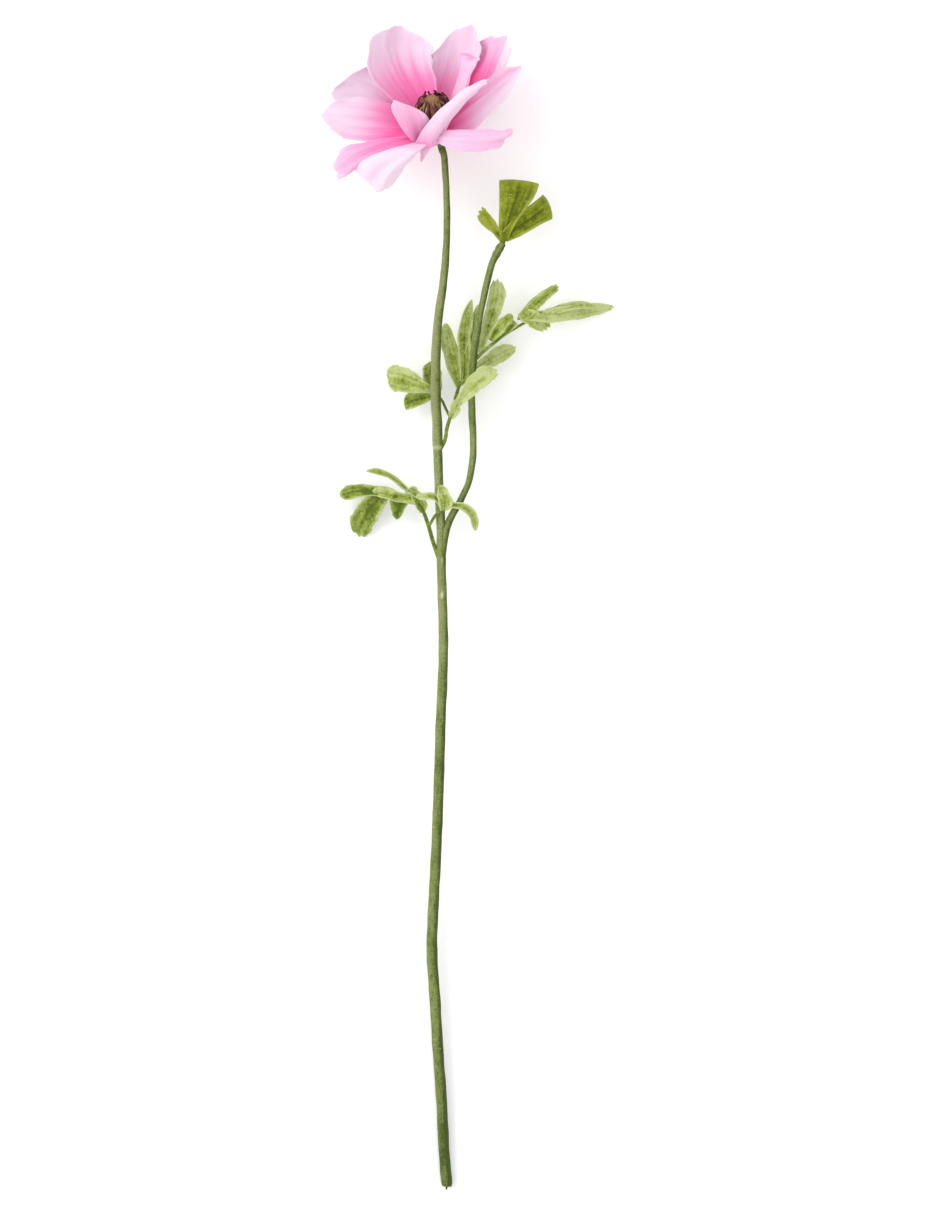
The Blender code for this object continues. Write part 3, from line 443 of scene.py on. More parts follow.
def petal_sheet(name, steps, pleat):
    """Middle surface of a petal and its colour shares.

    The net's point at (t, v), where t is s times (1 - fall |v|^power, plus a scallop and two
    small sines across) and v swings at the edges by sin 11t. It is moved along the normal by
    the edge wave, sin 2 pi (2t + phase) times |v|^1.5, by a finer edge wave, sin 29t, by a tip
    wave, sin(7v + 9 phase), by fine lengthwise pleats, the sum of two cosines of v times the
    petal's width, by tent-shaped creases, height times (1 - |v - crease| / half width), and by
    hollows, depth times a Gaussian of t and v. Its pink falls from base to tip by a smooth step,
    with the streaks of the pleats in it.
    """
    rows, fall, power, wave, phase, scallop = PETALS[name]
    rows = np.array(rows, float)
    net = petal_net(rows)
    s = np.linspace(0.0, 1.0, steps[0])[:, None]
    v = np.linspace(-1.0, 1.0, steps[1])[None, :] + 0.0 * s
    reach = 1.0 - fall * np.abs(v) ** power
    reach = reach + scallop * np.cos(9.0 * v + 6.0 * phase) * (1.0 - v ** 2)
    rough = 0.011 * np.sin(8.0 * v + 11.0 * phase) + 0.004 * np.sin(21.0 * v + 5.0 * phase)
    t = s * (reach + rough * ease((s - 0.5) / 0.5))
    frill = 0.04 * np.abs(v) ** 3 * np.sin(11.0 * t + 7.0 * phase + np.where(v > 0, 2.0, 0.0))
    aside = v * (1.0 + frill * ease((t - 0.25) / 0.3))
    points = net_surface(net, t, aside)
    normal = net_normal(net, t, aside)
    edge = ease((t - 0.3) / 0.5) * np.abs(v) ** 1.5
    ripple = edge * np.sin(2.0 * math.pi * (2.0 * t + phase) + np.where(v > 0, 1.9, 0.0))
    ripple = ripple + 0.8 * ease((t - 0.6) / 0.4) * np.sin(7.0 * v + 9.0 * phase)
    ripple = ripple + 0.5 * edge * np.sin(29.0 * t + 5.0 * phase) * v ** 2
    points = points + (wave * MM * ripple)[..., None] * normal
    towards = normal * np.sign(normal[..., 2].mean())
    streak = np.cos(13.0 * v + 7.0 * phase) * (1.0 + 0.6 * np.sin(3.0 * v + 5.0 * phase))
    streak = streak + 0.7 * np.cos(29.0 * v + 3.0 * phase + 2.0 * t)
    spans = np.linalg.norm(rows[:, 2, :2] - rows[:, 0, :2], axis=1)
    width = spans.max() * GRID / PETAL_WIDTH
    folds = pleat * width * streak * ease(t / 0.15) * (1.0 - 0.55 * t)
    for base, tip, height, half, start in PETAL_CREASES.get(name, []):
        middle = base + (tip - base) * t
        away = np.sqrt((v - middle) ** 2 + 0.03 ** 2) - 0.03
        tent = np.maximum(1.0 - away / half, 0.0)
        folds = folds + height * MM * tent * ease((t - start) / 0.35) * ease((0.98 - t) / 0.12)
    for place_t, place_v, depth, length_t, length_v in PETAL_DIMPLES.get(name, []):
        away = ((t - place_t) / length_t) ** 2 + ((v - place_v) / length_v) ** 2
        folds = folds - depth * MM * np.exp(-away)
    points = points + folds[..., None] * towards
    tip_pink, base_pink, start, length = PETAL_PINK[name]
    fade = ease((t - start) / (length * (1.0 + 0.06 * streak * width)))
    pink = base_pink + (tip_pink - base_pink) * fade
    pink = pink + 0.02 * streak * width * ease(t / 0.3) * (1.0 - 0.5 * t)
    for place_v, band, change in PETAL_MARGINS.get(name, []):
        side = np.sign(place_v)
        pink = pink + change * ease((side * v - abs(place_v)) / band) * ease(t / 0.3)
    pink = np.clip(pink, 0.0, 1.0)
    rim = np.maximum(ease((np.abs(v) - 0.9) / 0.1), ease((s - 0.94) / 0.06))
    return points, {"pink": pink, "rim": rim, "across": width * v, "along": t}


def lobe_sheet(shape, steps, cup, edge_height, ragged):
    """Middle surface of a leaf lobe and its colour shares.

    Left and right edges follow the lobe's rows; heights follow the parabola through base, middle
    and tip; the edges stand above the middle by the cup. t is s times (1 - fall |v|^2.4 plus
    teeth cos 3 pi v and a small sawtooth). Veins are grooves, a Gaussian of the distance in v
    to 0, 0.38 and 0.7 on either side, and the edge carries a slow wave.
    """
    rows, heights, fall, teeth, dark = shape
    rows = np.array(rows, float)
    k = np.array([0.0, 1 / 3, 2 / 3, 1.0])
    z = heights[0] * (1 - k) * (1 - 2 * k) + heights[1] * 4 * k * (1 - k)
    z = z + heights[2] * k * (2 * k - 1)
    rise = cup / MM * np.array([0.3, 1.0, 1.0, 0.6])
    left = np.column_stack([rows[:, 0:2], z + rise])
    right = np.column_stack([rows[:, 2:4], z + rise])
    middle = np.column_stack([(rows[:, 0:2] + rows[:, 2:4]) / 2, z])
    net = plan(np.stack([left, middle, right], axis=1))
    seed = rows[0, 0] * 0.37 + rows[3, 1] * 0.21
    s = np.linspace(0.0, 1.0, steps[0])[:, None]
    v = np.linspace(-1.0, 1.0, steps[1])[None, :] + 0.0 * s
    reach = 1.0 - fall * np.abs(v) ** 2.4 + teeth * np.cos(3.0 * math.pi * v)
    notch = np.abs(((v * 2.6 + seed) % 1.0) - 0.5) * 2.0
    reach = reach - (0.35 * teeth + 0.008 * ragged) * notch * (1.0 - v ** 2)
    t = s * reach
    saw = (4.3 * t + seed + np.where(v > 0, 0.43, 0.0)) % 1.0
    bite = (0.05 * ragged + 2.4 * teeth) * saw ** 1.5 * ease((t - 0.25) / 0.3)
    uneven = 1.0 + np.sin(17.0 * t + 3.0 * seed + np.where(v > 0, 2.0, 0.0))
    bite = bite + 0.035 * ragged * uneven
    inner = v * (1.0 - bite * np.abs(v) ** 3)
    points = net_surface(net, t, inner)
    normal = net_normal(net, t, inner)
    towards = normal * np.sign(normal[..., 2].mean())
    spread = 0.35 + 0.65 * ease(t / 0.5)
    veins = np.exp(-(v / 0.08) ** 2)
    for place in (0.38, 0.7):
        for side in (-1.0, 1.0):
            away = (v - side * place * spread) / 0.07
            veins = veins + 0.55 * np.exp(-away ** 2) * ease(t / 0.15)
    veins = veins * (1.0 - ease((t - 0.78) / 0.2))
    wave = edge_height * np.abs(v) ** 2 * np.sin(9.0 * t + seed + np.where(v > 0, 1.7, 0.0))
    lift = wave * ease(t / 0.3) - 0.1 * MM * veins
    points = points + lift[..., None] * towards
    patch = dark + 0.2 * np.cos(3.1 * v + seed) * np.sin(4.0 * t + seed)
    patch = patch + 0.1 * np.cos(11.0 * v + 2.0 * seed) + 0.12 * (1.0 - t)
    patch = patch + 0.32 * (0.5 - np.abs(v) ** 1.4) * (1.0 - 0.5 * t)
    rim = np.maximum(ease((np.abs(v) - 0.8) / 0.2), ease((s - 0.93) / 0.07))
    return points, {"dark": patch, "vein": veins, "rim": rim}


def smooth_route(route, pieces):
    """Catmull-Rom curve through a route's points (u, w, height, radius)."""
    route = np.array(route, float)
    ends = np.vstack([2 * route[0] - route[1], route, 2 * route[-1] - route[-2]])
    f = (np.arange(pieces) / pieces)[None, :, None]
    a, b, c, d = (ends[i:len(ends) - 3 + i][:, None, :] for i in range(4))
    bend = 2 * b + (c - a) * f + (2 * a - 5 * b + 4 * c - d) * f ** 2
    points = 0.5 * (bend + (3 * b - a - 3 * c + d) * f ** 3)
    return np.vstack([points.reshape(-1, 4), route[-1]])


def tube_grid(route, pieces, sides, bumps=None):
    """Skin of a round bar along a route: the route's smooth curve, plus at each place a circle of
    its radius across the tangent, with domed ends that close to a point.

    bumps(distance along, angle) gives the added radius. Rows run along and columns around. It
    gives the points and each point's angle."""
    curve = smooth_route(route, pieces)
    places = plan(curve[:, :3])
    radius = curve[:, 3] * MM
    tangent = unit(np.gradient(places, axis=0))
    dome = np.array([0.02, 0.4, 0.72, 0.92])
    back = np.sqrt(1.0 - dome ** 2)
    head = places[0] - tangent[0] * (back * radius[0] * 0.5)[:, None]
    tail = places[-1] + tangent[-1] * (back[::-1] * radius[-1] * 0.5)[:, None]
    places = np.vstack([head, places, tail])
    tangent = np.vstack([np.repeat(tangent[:1], 4, 0), tangent, np.repeat(tangent[-1:], 4, 0)])
    radius = np.concatenate([radius[0] * dome, radius, radius[-1] * dome[::-1]])
    across = unit(np.cross(tangent, [0.0, 0.0, 1.0]))
    above = np.cross(across, tangent)
    angle = np.linspace(0.0, 2.0 * math.pi, sides, endpoint=False)[None, :]
    run = np.concatenate([[0.0], np.cumsum(np.linalg.norm(np.diff(places, axis=0), axis=1))])
    size = radius[:, None] + 0.0 * angle
    if bumps is not None:
        share = np.minimum(radius / radius.max(), 1.0)[:, None]
        size = size + bumps(run[:, None], angle) * share
    ring = np.cos(angle)[..., None] * across[:, None] + np.sin(angle)[..., None] * above[:, None]
    points = places[:, None, :] + size[..., None] * ring
    return points, angle + 0.0 * run[:, None]


def cells(rows, columns, around=False, offset=0):
    """Corner numbers of a grid's cells, first along the rows and then across."""
    i = np.arange(rows - 1)[:, None]
    j = np.arange(columns if around else columns - 1)[None, :]
    k = (j + 1) % columns
    corners = [i * columns + j, (i + 1) * columns + j, (i + 1) * columns + k, i * columns + k]
    return np.stack(corners, axis=-1).reshape(-1, 4) + offset


def blade(points, shares, thickness):
    """A closed thin blade round a grid: the grid moved half the thickness to either side along
    its normals, thinner towards the edge, joined by a strip round the rim."""
    rows, columns = points.shape[:2]
    normal = grid_normals(points)
    i = np.minimum(np.arange(rows), np.arange(rows)[::-1])[:, None]
    j = np.minimum(np.arange(columns), np.arange(columns)[::-1])[None, :]
    inset = np.minimum(i, j)
    half = 0.5 * thickness * np.where(inset == 0, 0.45, 1.0)[..., None]
    front = (points + normal * half).reshape(-1, 3)
    back = (points - normal * half).reshape(-1, 3)
    faces = cells(rows, columns)
    count = rows * columns
    index = np.arange(count).reshape(rows, columns)
    loop = np.concatenate([index[:-1, 0], index[-1, :-1], index[:0:-1, -1], index[0, :0:-1]])
    after = np.roll(loop, -1)
    rim = np.stack([after, loop, loop + count, after + count], axis=-1)
    faces = np.vstack([faces, faces[:, ::-1] + count, rim])
    doubled = {key: np.tile(value.ravel(), 2) for key, value in shares.items()}
    return np.vstack([front, back]), faces, doubled


def tube_shell(points, shares):
    """A tube's grid of points as a skin that is open at its two end rings."""
    rows, columns = points.shape[:2]
    faces = cells(rows, columns, around=True)[:, ::-1]
    return points.reshape(-1, 3), faces, {k: v.ravel() for k, v in shares.items()}


def shell_object(name, shells, caps=()):
    """One object of several shells. Each shell is its points, its four-cornered faces and its
    shares, values in one number per point, that become attributes. Caps are rings of corner
    numbers to close."""
    offset = 0
    points = []
    faces = []
    for shell_points, shell_faces, _ in shells:
        points.append(shell_points)
        faces.append(shell_faces + offset)
        offset += len(shell_points)
    points = np.vstack(points)
    faces = np.vstack(faces)
    corners = np.concatenate([faces.ravel()] + [np.asarray(c) for c in caps]).astype(np.int32)
    sizes = [4] * len(faces) + [len(c) for c in caps]
    starts = np.concatenate([[0], np.cumsum(sizes)[:-1]]).astype(np.int32)
    mesh = bpy.data.meshes.new(name)
    mesh.vertices.add(len(points))
    mesh.vertices.foreach_set("co", points.astype(np.float32).ravel())
    mesh.loops.add(len(corners))
    mesh.loops.foreach_set("vertex_index", corners)
    mesh.polygons.add(len(sizes))
    mesh.polygons.foreach_set("loop_start", starts)
    mesh.update(calc_edges=True)
    mesh.validate()
    for key in shells[0][2]:
        layer = mesh.attributes.new(key, "FLOAT", "POINT")
        values = np.concatenate([shell[2][key] for shell in shells])
        layer.data.foreach_set("value", values.astype(np.float32))
    mesh.shade_smooth()
    obj = bpy.data.objects.new(name, mesh)
    bpy.context.scene.collection.objects.link(obj)
    return obj


def place(obj, material, slot, *nodes):
    """Give a piece its material and its body, and hide the nodes that it stands for. The slot is not
    used.
    """
    obj.data.materials.clear()
    obj.data.materials.append(material)
    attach(obj, "root")
    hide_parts(*nodes)
    return obj


def new_material(name, roughness, **sockets):
    """A material with its shader's constant sockets set, its tree and its shader."""
    material = bpy.data.materials.new(name)
    material.use_nodes = True
    shader = material.node_tree.nodes["Principled BSDF"]
    shader.inputs["Roughness"].default_value = roughness
    for key, value in sockets.items():
        shader.inputs[key.replace("_", " ")].default_value = value
    return material, material.node_tree, shader


def add_node(tree, kind, links=None, **settings):
    """A node with settings and inputs; an input is a socket to link or a value to hold."""
    node = tree.nodes.new(kind)
    for key, value in settings.items():
        setattr(node, key, value)
    for key, value in (links or {}).items():
        if isinstance(value, bpy.types.NodeSocket):
            tree.links.new(value, node.inputs[key])
        else:
            node.inputs[key].default_value = value
    return node


def share_of(tree, name):
    """The value of a piece's own attribute."""
    return add_node(tree, "ShaderNodeAttribute", attribute_name=name).outputs["Fac"]


def calc(tree, operation, a, b, clamp=False):
    """One step of arithmetic on two values or sockets."""
    node = add_node(tree, "ShaderNodeMath", {0: a, 1: b}, operation=operation, use_clamp=clamp)
    return node.outputs[0]


def coded(stops):
    """Stops of (place, linear colour) from stops of (place, colour code)."""
    return [(spot, linear(code)) for spot, code in stops]


def ramp(tree, value, stops):
    """Colours along a value, from stops of (place, linear colour)."""
    node = add_node(tree, "ShaderNodeValToRGB", {"Fac": value})
    elements = node.color_ramp.elements
    while len(elements) < len(stops):
        elements.new(0.5)
    for element, (spot, colour) in zip(elements, stops):
        element.position = spot
        element.color = (*colour, 1.0)
    return node.outputs["Color"]


def grain(tree, scale, detail=3.0, rough=0.6, stretch=None):
    """Noise on the piece's object coordinates, with an optional stretch."""
    source = add_node(tree, "ShaderNodeTexCoord").outputs["Object"]
    if stretch is not None:
        source = add_node(tree, "ShaderNodeMapping", {"Vector": source, "Scale": stretch})
        source = source.outputs["Vector"]
    links = {"Vector": source, "Scale": scale, "Detail": detail, "Roughness": rough}
    return add_node(tree, "ShaderNodeTexNoise", links).outputs["Fac"]


def specks(tree, scale, size, soft):
    """Small round dots: 1 inside a cell's core and 0 outside."""
    source = add_node(tree, "ShaderNodeTexCoord").outputs["Object"]
    cell = add_node(tree, "ShaderNodeTexVoronoi", {"Vector": source, "Scale": scale})
    inside = calc(tree, "SUBTRACT", size, cell.outputs["Distance"])
    return calc(tree, "DIVIDE", inside, soft, clamp=True)


def blend(tree, share, a, b):
    """Mix of two colours by a share."""
    node = add_node(tree, "ShaderNodeMix", data_type="RGBA")
    for socket, value in ((node.inputs[0], share), (node.inputs[6], a), (node.inputs[7], b)):
        if isinstance(value, bpy.types.NodeSocket):
            tree.links.new(value, socket)
        elif isinstance(value, tuple):
            socket.default_value = (*value, 1.0)
        else:
            socket.default_value = value
    return node.outputs[2]


def bump(tree, shader, height, distance, strength=1.0):
    """Fine relief on the shader's normal."""
    links = {"Height": height, "Distance": distance, "Strength": strength}
    node = add_node(tree, "ShaderNodeBump", links)
    tree.links.new(node.outputs["Normal"], shader.inputs["Normal"])


def petal_material(look):
    """Dyed fabric: pink by the petal's own share, streaked lengthwise, with a pale cut rim."""
    material, tree, shader = new_material("petal_fabric", 0.75, Sheen_Weight=0.25,
                                          Sheen_Roughness=0.5, Specular_IOR_Level=0.25,
                                          Subsurface_Weight=0.2, Subsurface_Scale=0.002)
    shader.inputs["Subsurface Radius"].default_value = (1.0, 0.45, 0.6)
    along = share_of(tree, "along")
    across = share_of(tree, "across")
    place_of = add_node(tree, "ShaderNodeCombineXYZ", {"X": across, "Y": along})
    streaks = add_node(tree, "ShaderNodeMapping",
                       {"Vector": place_of.outputs["Vector"], "Scale": (13.0, 1.3, 1.0)})
    noise = add_node(tree, "ShaderNodeTexNoise",
                     {"Vector": streaks.outputs["Vector"], "Scale": 1.0, "Detail": 4.0,
                      "Roughness": 0.6})
    swing = calc(tree, "SUBTRACT", noise.outputs["Fac"], 0.5)
    cloud = calc(tree, "SUBTRACT", grain(tree, 90.0, 2.0), 0.5)
    pink = calc(tree, "ADD", share_of(tree, "pink"), calc(tree, "MULTIPLY", swing, 0.3))
    pink = calc(tree, "ADD", pink, calc(tree, "MULTIPLY", cloud, 0.14), clamp=True)
    stops = [(0.0, tuple(look.pale)), (0.3, tuple(look.light)), (0.62, tuple(look.pink)),
             (1.0, tuple(look.deep))]
    colour = ramp(tree, pink, stops)
    edge = calc(tree, "MULTIPLY", share_of(tree, "rim"), 0.35)
    colour = blend(tree, edge, colour, tuple(look.pale))
    tree.links.new(colour, shader.inputs["Base Color"])
    weave = calc(tree, "ADD", noise.outputs["Fac"], grain(tree, 1400.0, 2.0))
    bump(tree, shader, weave, 0.00012, 0.6)
    return material


def leaf_material(name, pale, middle, deep, rim_colour, vein_dark):
    """Flocked leaf: pale to dark by the lobe's own share, mottled, with dark veins, a pale rim
    and a few yellowish specks."""
    material, tree, shader = new_material(name, 0.85, Sheen_Weight=0.1, Sheen_Roughness=0.6,
                                          Specular_IOR_Level=0.1)
    broad = calc(tree, "SUBTRACT", grain(tree, 260.0, 5.0, 0.65), 0.5)
    fine = calc(tree, "SUBTRACT", grain(tree, 850.0, 4.0, 0.75), 0.5)
    dark = calc(tree, "ADD", share_of(tree, "dark"), calc(tree, "MULTIPLY", broad, 1.7))
    dark = calc(tree, "ADD", dark, calc(tree, "MULTIPLY", fine, 1.3))
    dark = calc(tree, "ADD", dark, calc(tree, "MULTIPLY", share_of(tree, "vein"), vein_dark),
                clamp=True)
    colour = ramp(tree, dark, [(0.0, tuple(pale)), (0.45, tuple(middle)), (1.0, tuple(deep))])
    patchy = calc(tree, "ADD", broad, 0.42, clamp=True)
    edge = calc(tree, "MULTIPLY", share_of(tree, "rim"), patchy)
    colour = blend(tree, edge, colour, tuple(rim_colour))
    dots = calc(tree, "MULTIPLY", specks(tree, 520.0, 0.17, 0.06),
                calc(tree, "GREATER_THAN", grain(tree, 330.0), 0.56))
    colour = blend(tree, calc(tree, "MULTIPLY", dots, 0.5), colour, linear(LEAF_SPECK))
    tree.links.new(colour, shader.inputs["Base Color"])
    bump(tree, shader, calc(tree, "ADD", fine, calc(tree, "MULTIPLY", broad, 3.0)), 0.0003, 0.9)
    return material


def stem_material(look):
    """Flocked stem: mottled green along its length, dark freckles, white specks, a pale joint
    ring and the scars and nicks of its own marks. Its dark share also holds painted shade down
    the right-hand side and a painted shadow below the bloom."""
    material, tree, shader = new_material("stem_flock", 0.85, Sheen_Weight=0.1,
                                          Sheen_Roughness=0.6, Specular_IOR_Level=0.1)
    long_grain = grain(tree, 220.0, 4.0, 0.65, (1.0, 0.35, 1.0))
    fine = grain(tree, 900.0, 4.0, 0.75)
    swing = calc(tree, "MULTIPLY", calc(tree, "SUBTRACT", long_grain, 0.5), 1.1)
    tone = calc(tree, "ADD", share_of(tree, "dark"), swing)
    tone = calc(tree, "ADD", tone, calc(tree, "MULTIPLY", calc(tree, "SUBTRACT", fine, 0.5), 1.2),
                clamp=True)
    colour = ramp(tree, tone, [(0.0, tuple(look.light)), (0.5, tuple(look.middle)),
                               (1.0, tuple(look.dark))])
    freckles = calc(tree, "SUBTRACT", grain(tree, 1300.0, 3.0, 0.5), 0.59)
    freckles = calc(tree, "MULTIPLY", freckles, 9.0, clamp=True)
    colour = blend(tree, calc(tree, "MULTIPLY", freckles, 0.65), colour, linear(STEM_FRECKLE))
    colour = blend(tree, share_of(tree, "warm"), colour, linear(STEM_WARM))
    white = calc(tree, "MULTIPLY", specks(tree, 760.0, 0.13, 0.05),
                 calc(tree, "GREATER_THAN", grain(tree, 300.0), 0.6))
    colour = blend(tree, calc(tree, "MULTIPLY", white, 0.75), colour, linear(STEM_SPECK))
    colour = blend(tree, share_of(tree, "pale"), colour, linear(STEM_SCAR))
    colour = blend(tree, share_of(tree, "nick"), colour, linear(STEM_NICK))
    tree.links.new(colour, shader.inputs["Base Color"])
    bump(tree, shader, calc(tree, "ADD", fine, long_grain), 0.00035, 0.8)
    return material


def centre_material():
    """Moulded centre: maroon to tan by its own share, reddish by another, mottled. The tan share
    also carries painted highlights on the ball's top and on the lower-left stamen tips.
    """
    material, tree, shader = new_material("centre_moulding", 0.6, Specular_IOR_Level=0.4)
    fine = calc(tree, "SUBTRACT", grain(tree, 1200.0, 3.0, 0.7), 0.5)
    tone = calc(tree, "ADD", share_of(tree, "tan"), calc(tree, "MULTIPLY", fine, 0.9), clamp=True)
    colour = ramp(tree, tone, coded(CENTRE_TONES))
    red = calc(tree, "MULTIPLY", share_of(tree, "red"), 0.8)
    colour = blend(tree, red, colour, linear(CENTRE_RED))
    tree.links.new(colour, shader.inputs["Base Color"])
    bump(tree, shader, fine, 0.0002, 0.7)
    return material


def wire_material():
    """Lacquered black wire with faint rubbed streaks."""
    material, tree, shader = new_material("wire_lacquer", 0.4, Metallic=0.6)
    worn = grain(tree, 900.0, 3.0, 0.6, (1.0, 0.2, 1.0))
    colour = ramp(tree, worn, coded(WIRE_TONES))
    tree.links.new(colour, shader.inputs["Base Color"])
    rough = calc(tree, "MULTIPLY", worn, 0.8)
    tree.links.new(rough, shader.inputs["Roughness"])
    return material


def floor_material(look):
    """Matt pale board with a barely visible grain."""
    material, tree, shader = new_material("floor_board", 0.9, Specular_IOR_Level=0.1)
    colour = tuple(look.floor)
    darker = tuple(0.985 * c for c in colour)
    tone = ramp(tree, grain(tree, 6.0), [(0.35, darker), (0.65, colour)])
    tree.links.new(tone, shader.inputs["Base Color"])
    return material


def length_setting(name, description, default):
    """A length that the user may change, in metres."""
    return bpy.props.FloatProperty(name=name, description=description, default=default, min=0.0,
                                   precision=5, unit="LENGTH")


def colour_setting(name, description, code):
    """A colour that the user may change."""
    return bpy.props.FloatVectorProperty(name=name, description=description, size=3, min=0.0,
                                         max=1.0, subtype="COLOR", default=linear(code))


class ANEMONE_PG_petals(bpy.types.PropertyGroup):
    """Sizes and colours of the petals"""
    thickness: length_setting("Thickness", "Thickness of the petal fabric", 0.0004)
    pleat: length_setting("Pleat depth", "Height of the fine lengthwise pleats", 0.00009)
    pale: colour_setting("Tip colour", "Colour of the palest petal tips", "dbcad8")
    light: colour_setting("Light pink", "Colour between tip and middle", "deb2cc")
    pink: colour_setting("Middle pink", "Colour of the middle of a petal", "e484b4")
    deep: colour_setting("Base pink", "Colour of the petal's base", "e8589c")


class ANEMONE_PG_centre(bpy.types.PropertyGroup):
    """Sizes of the flower's centre"""
    stamens: bpy.props.IntProperty(name="Stamens", description="Number of stamens in the ring",
                                   default=76, min=3, max=200)
    stamen_radius: length_setting("Stamen radius", "Half thickness of a stamen", 0.00025)
    rib: length_setting("Rib depth", "Depth of the ribs on the ball", 0.0006)


class ANEMONE_PG_stems(bpy.types.PropertyGroup):
    """Colours and relief of the stems"""
    relief: length_setting("Relief", "Height of the stem's soft lumps", 0.00012)
    light: colour_setting("Light green", "Colour of the light mottling", "96996f")
    middle: colour_setting("Middle green", "Main colour of the stems", "727f42")
    dark: colour_setting("Dark green", "Colour of the dark mottling", "3c4b13")


class ANEMONE_PG_leaves(bpy.types.PropertyGroup):
    """Sizes and colours of the leaves"""
    thickness: length_setting("Thickness", "Thickness of a leaf blade", 0.0006)
    cup: length_setting("Cup", "Height of a lobe's edges over its middle", 0.0012)
    wave: length_setting("Edge wave", "Height of the slow wave along the edges", 0.00035)
    pale: colour_setting("Pale green", "Colour of the palest leaves", "b4bd80")
    middle: colour_setting("Middle green", "Main colour of the leaves", "8e9c44")
    dark: colour_setting("Dark green", "Colour of dark patches", "506212")
    rim: colour_setting("Edge colour", "Colour of the cut edges", "bcc68e")
    fan_pale: colour_setting("Pale olive", "Palest colour of the fan leaf", "9aa03c")
    fan_middle: colour_setting("Middle olive", "Main colour of the fan leaf", "7f8a1c")
    fan_dark: colour_setting("Dark olive", "Colour of the fan leaf's dark patches", "515a06")
    fan_rim: colour_setting("Olive edge", "Colour of the fan leaf's cut edges", "9da250")


class ANEMONE_PG_stage(bpy.types.PropertyGroup):
    """Floor, lights and camera"""
    floor: colour_setting("Floor", "Colour of the floor", "fbfbfb")
    key: bpy.props.FloatProperty(name="Main light", description="Power of the main light",
                                 default=32.0, min=0.0, unit="POWER")
    fill: bpy.props.FloatProperty(name="Surrounding light",
                                  description="Strength of the light from all round",
                                  default=1.1, min=0.0)
    eye_height: length_setting("Camera height", "Height of the camera over the floor",
                               EYE_HEIGHT)


class ANEMONE_OT_petals(bpy.types.Operator):
    """Build the bloom's petals and the hub that holds them"""
    bl_idname = "anemone.petals"
    bl_label = "Petals"

    def execute(self, context):
        look = context.scene.anemone_petals
        material = petal_material(look)
        for name in PETALS:
            steps = SMALL_PETAL_GRID if name in SMALL_PETALS else PETAL_GRID
            points, shares = petal_sheet(name, steps, look.pleat)
            points[..., 2] = np.maximum(points[..., 2], look.thickness / 2)
            shell = blade(points, shares, look.thickness)
            place(shell_object("petal_" + name, [shell]), material, "petal", "petals")
        self.hub(material)
        return {"FINISHED"}

    def hub(self, material):
        """The receptacle: a lens turned about the bloom's axis, radius sin a by height cos a."""
        rows, columns = HUB_GRID
        angle = np.linspace(0.0, 2.0 * math.pi, columns, endpoint=False)[None, :]
        lean = np.linspace(0.02, math.pi - 0.02, rows)[:, None]
        radius = HUB_RADIUS * MM * np.sin(lean)
        height = HUB_HALF * MM * np.cos(lean)
        points = about_axis(angle, radius + 0 * angle, height + 0 * angle)
        full = np.ones(HUB_GRID)
        shares = {"pink": 0.9 * full, "rim": 0 * full, "across": 0 * full, "along": 0 * full}
        shell = (points.reshape(-1, 3), cells(rows, columns, True),
                 {k: v.ravel() for k, v in shares.items()})
        caps = [np.arange(columns)[::-1], (rows - 1) * columns + np.arange(columns)]
        place(shell_object("petal_hub", [shell], caps), material, "petal", "petals")


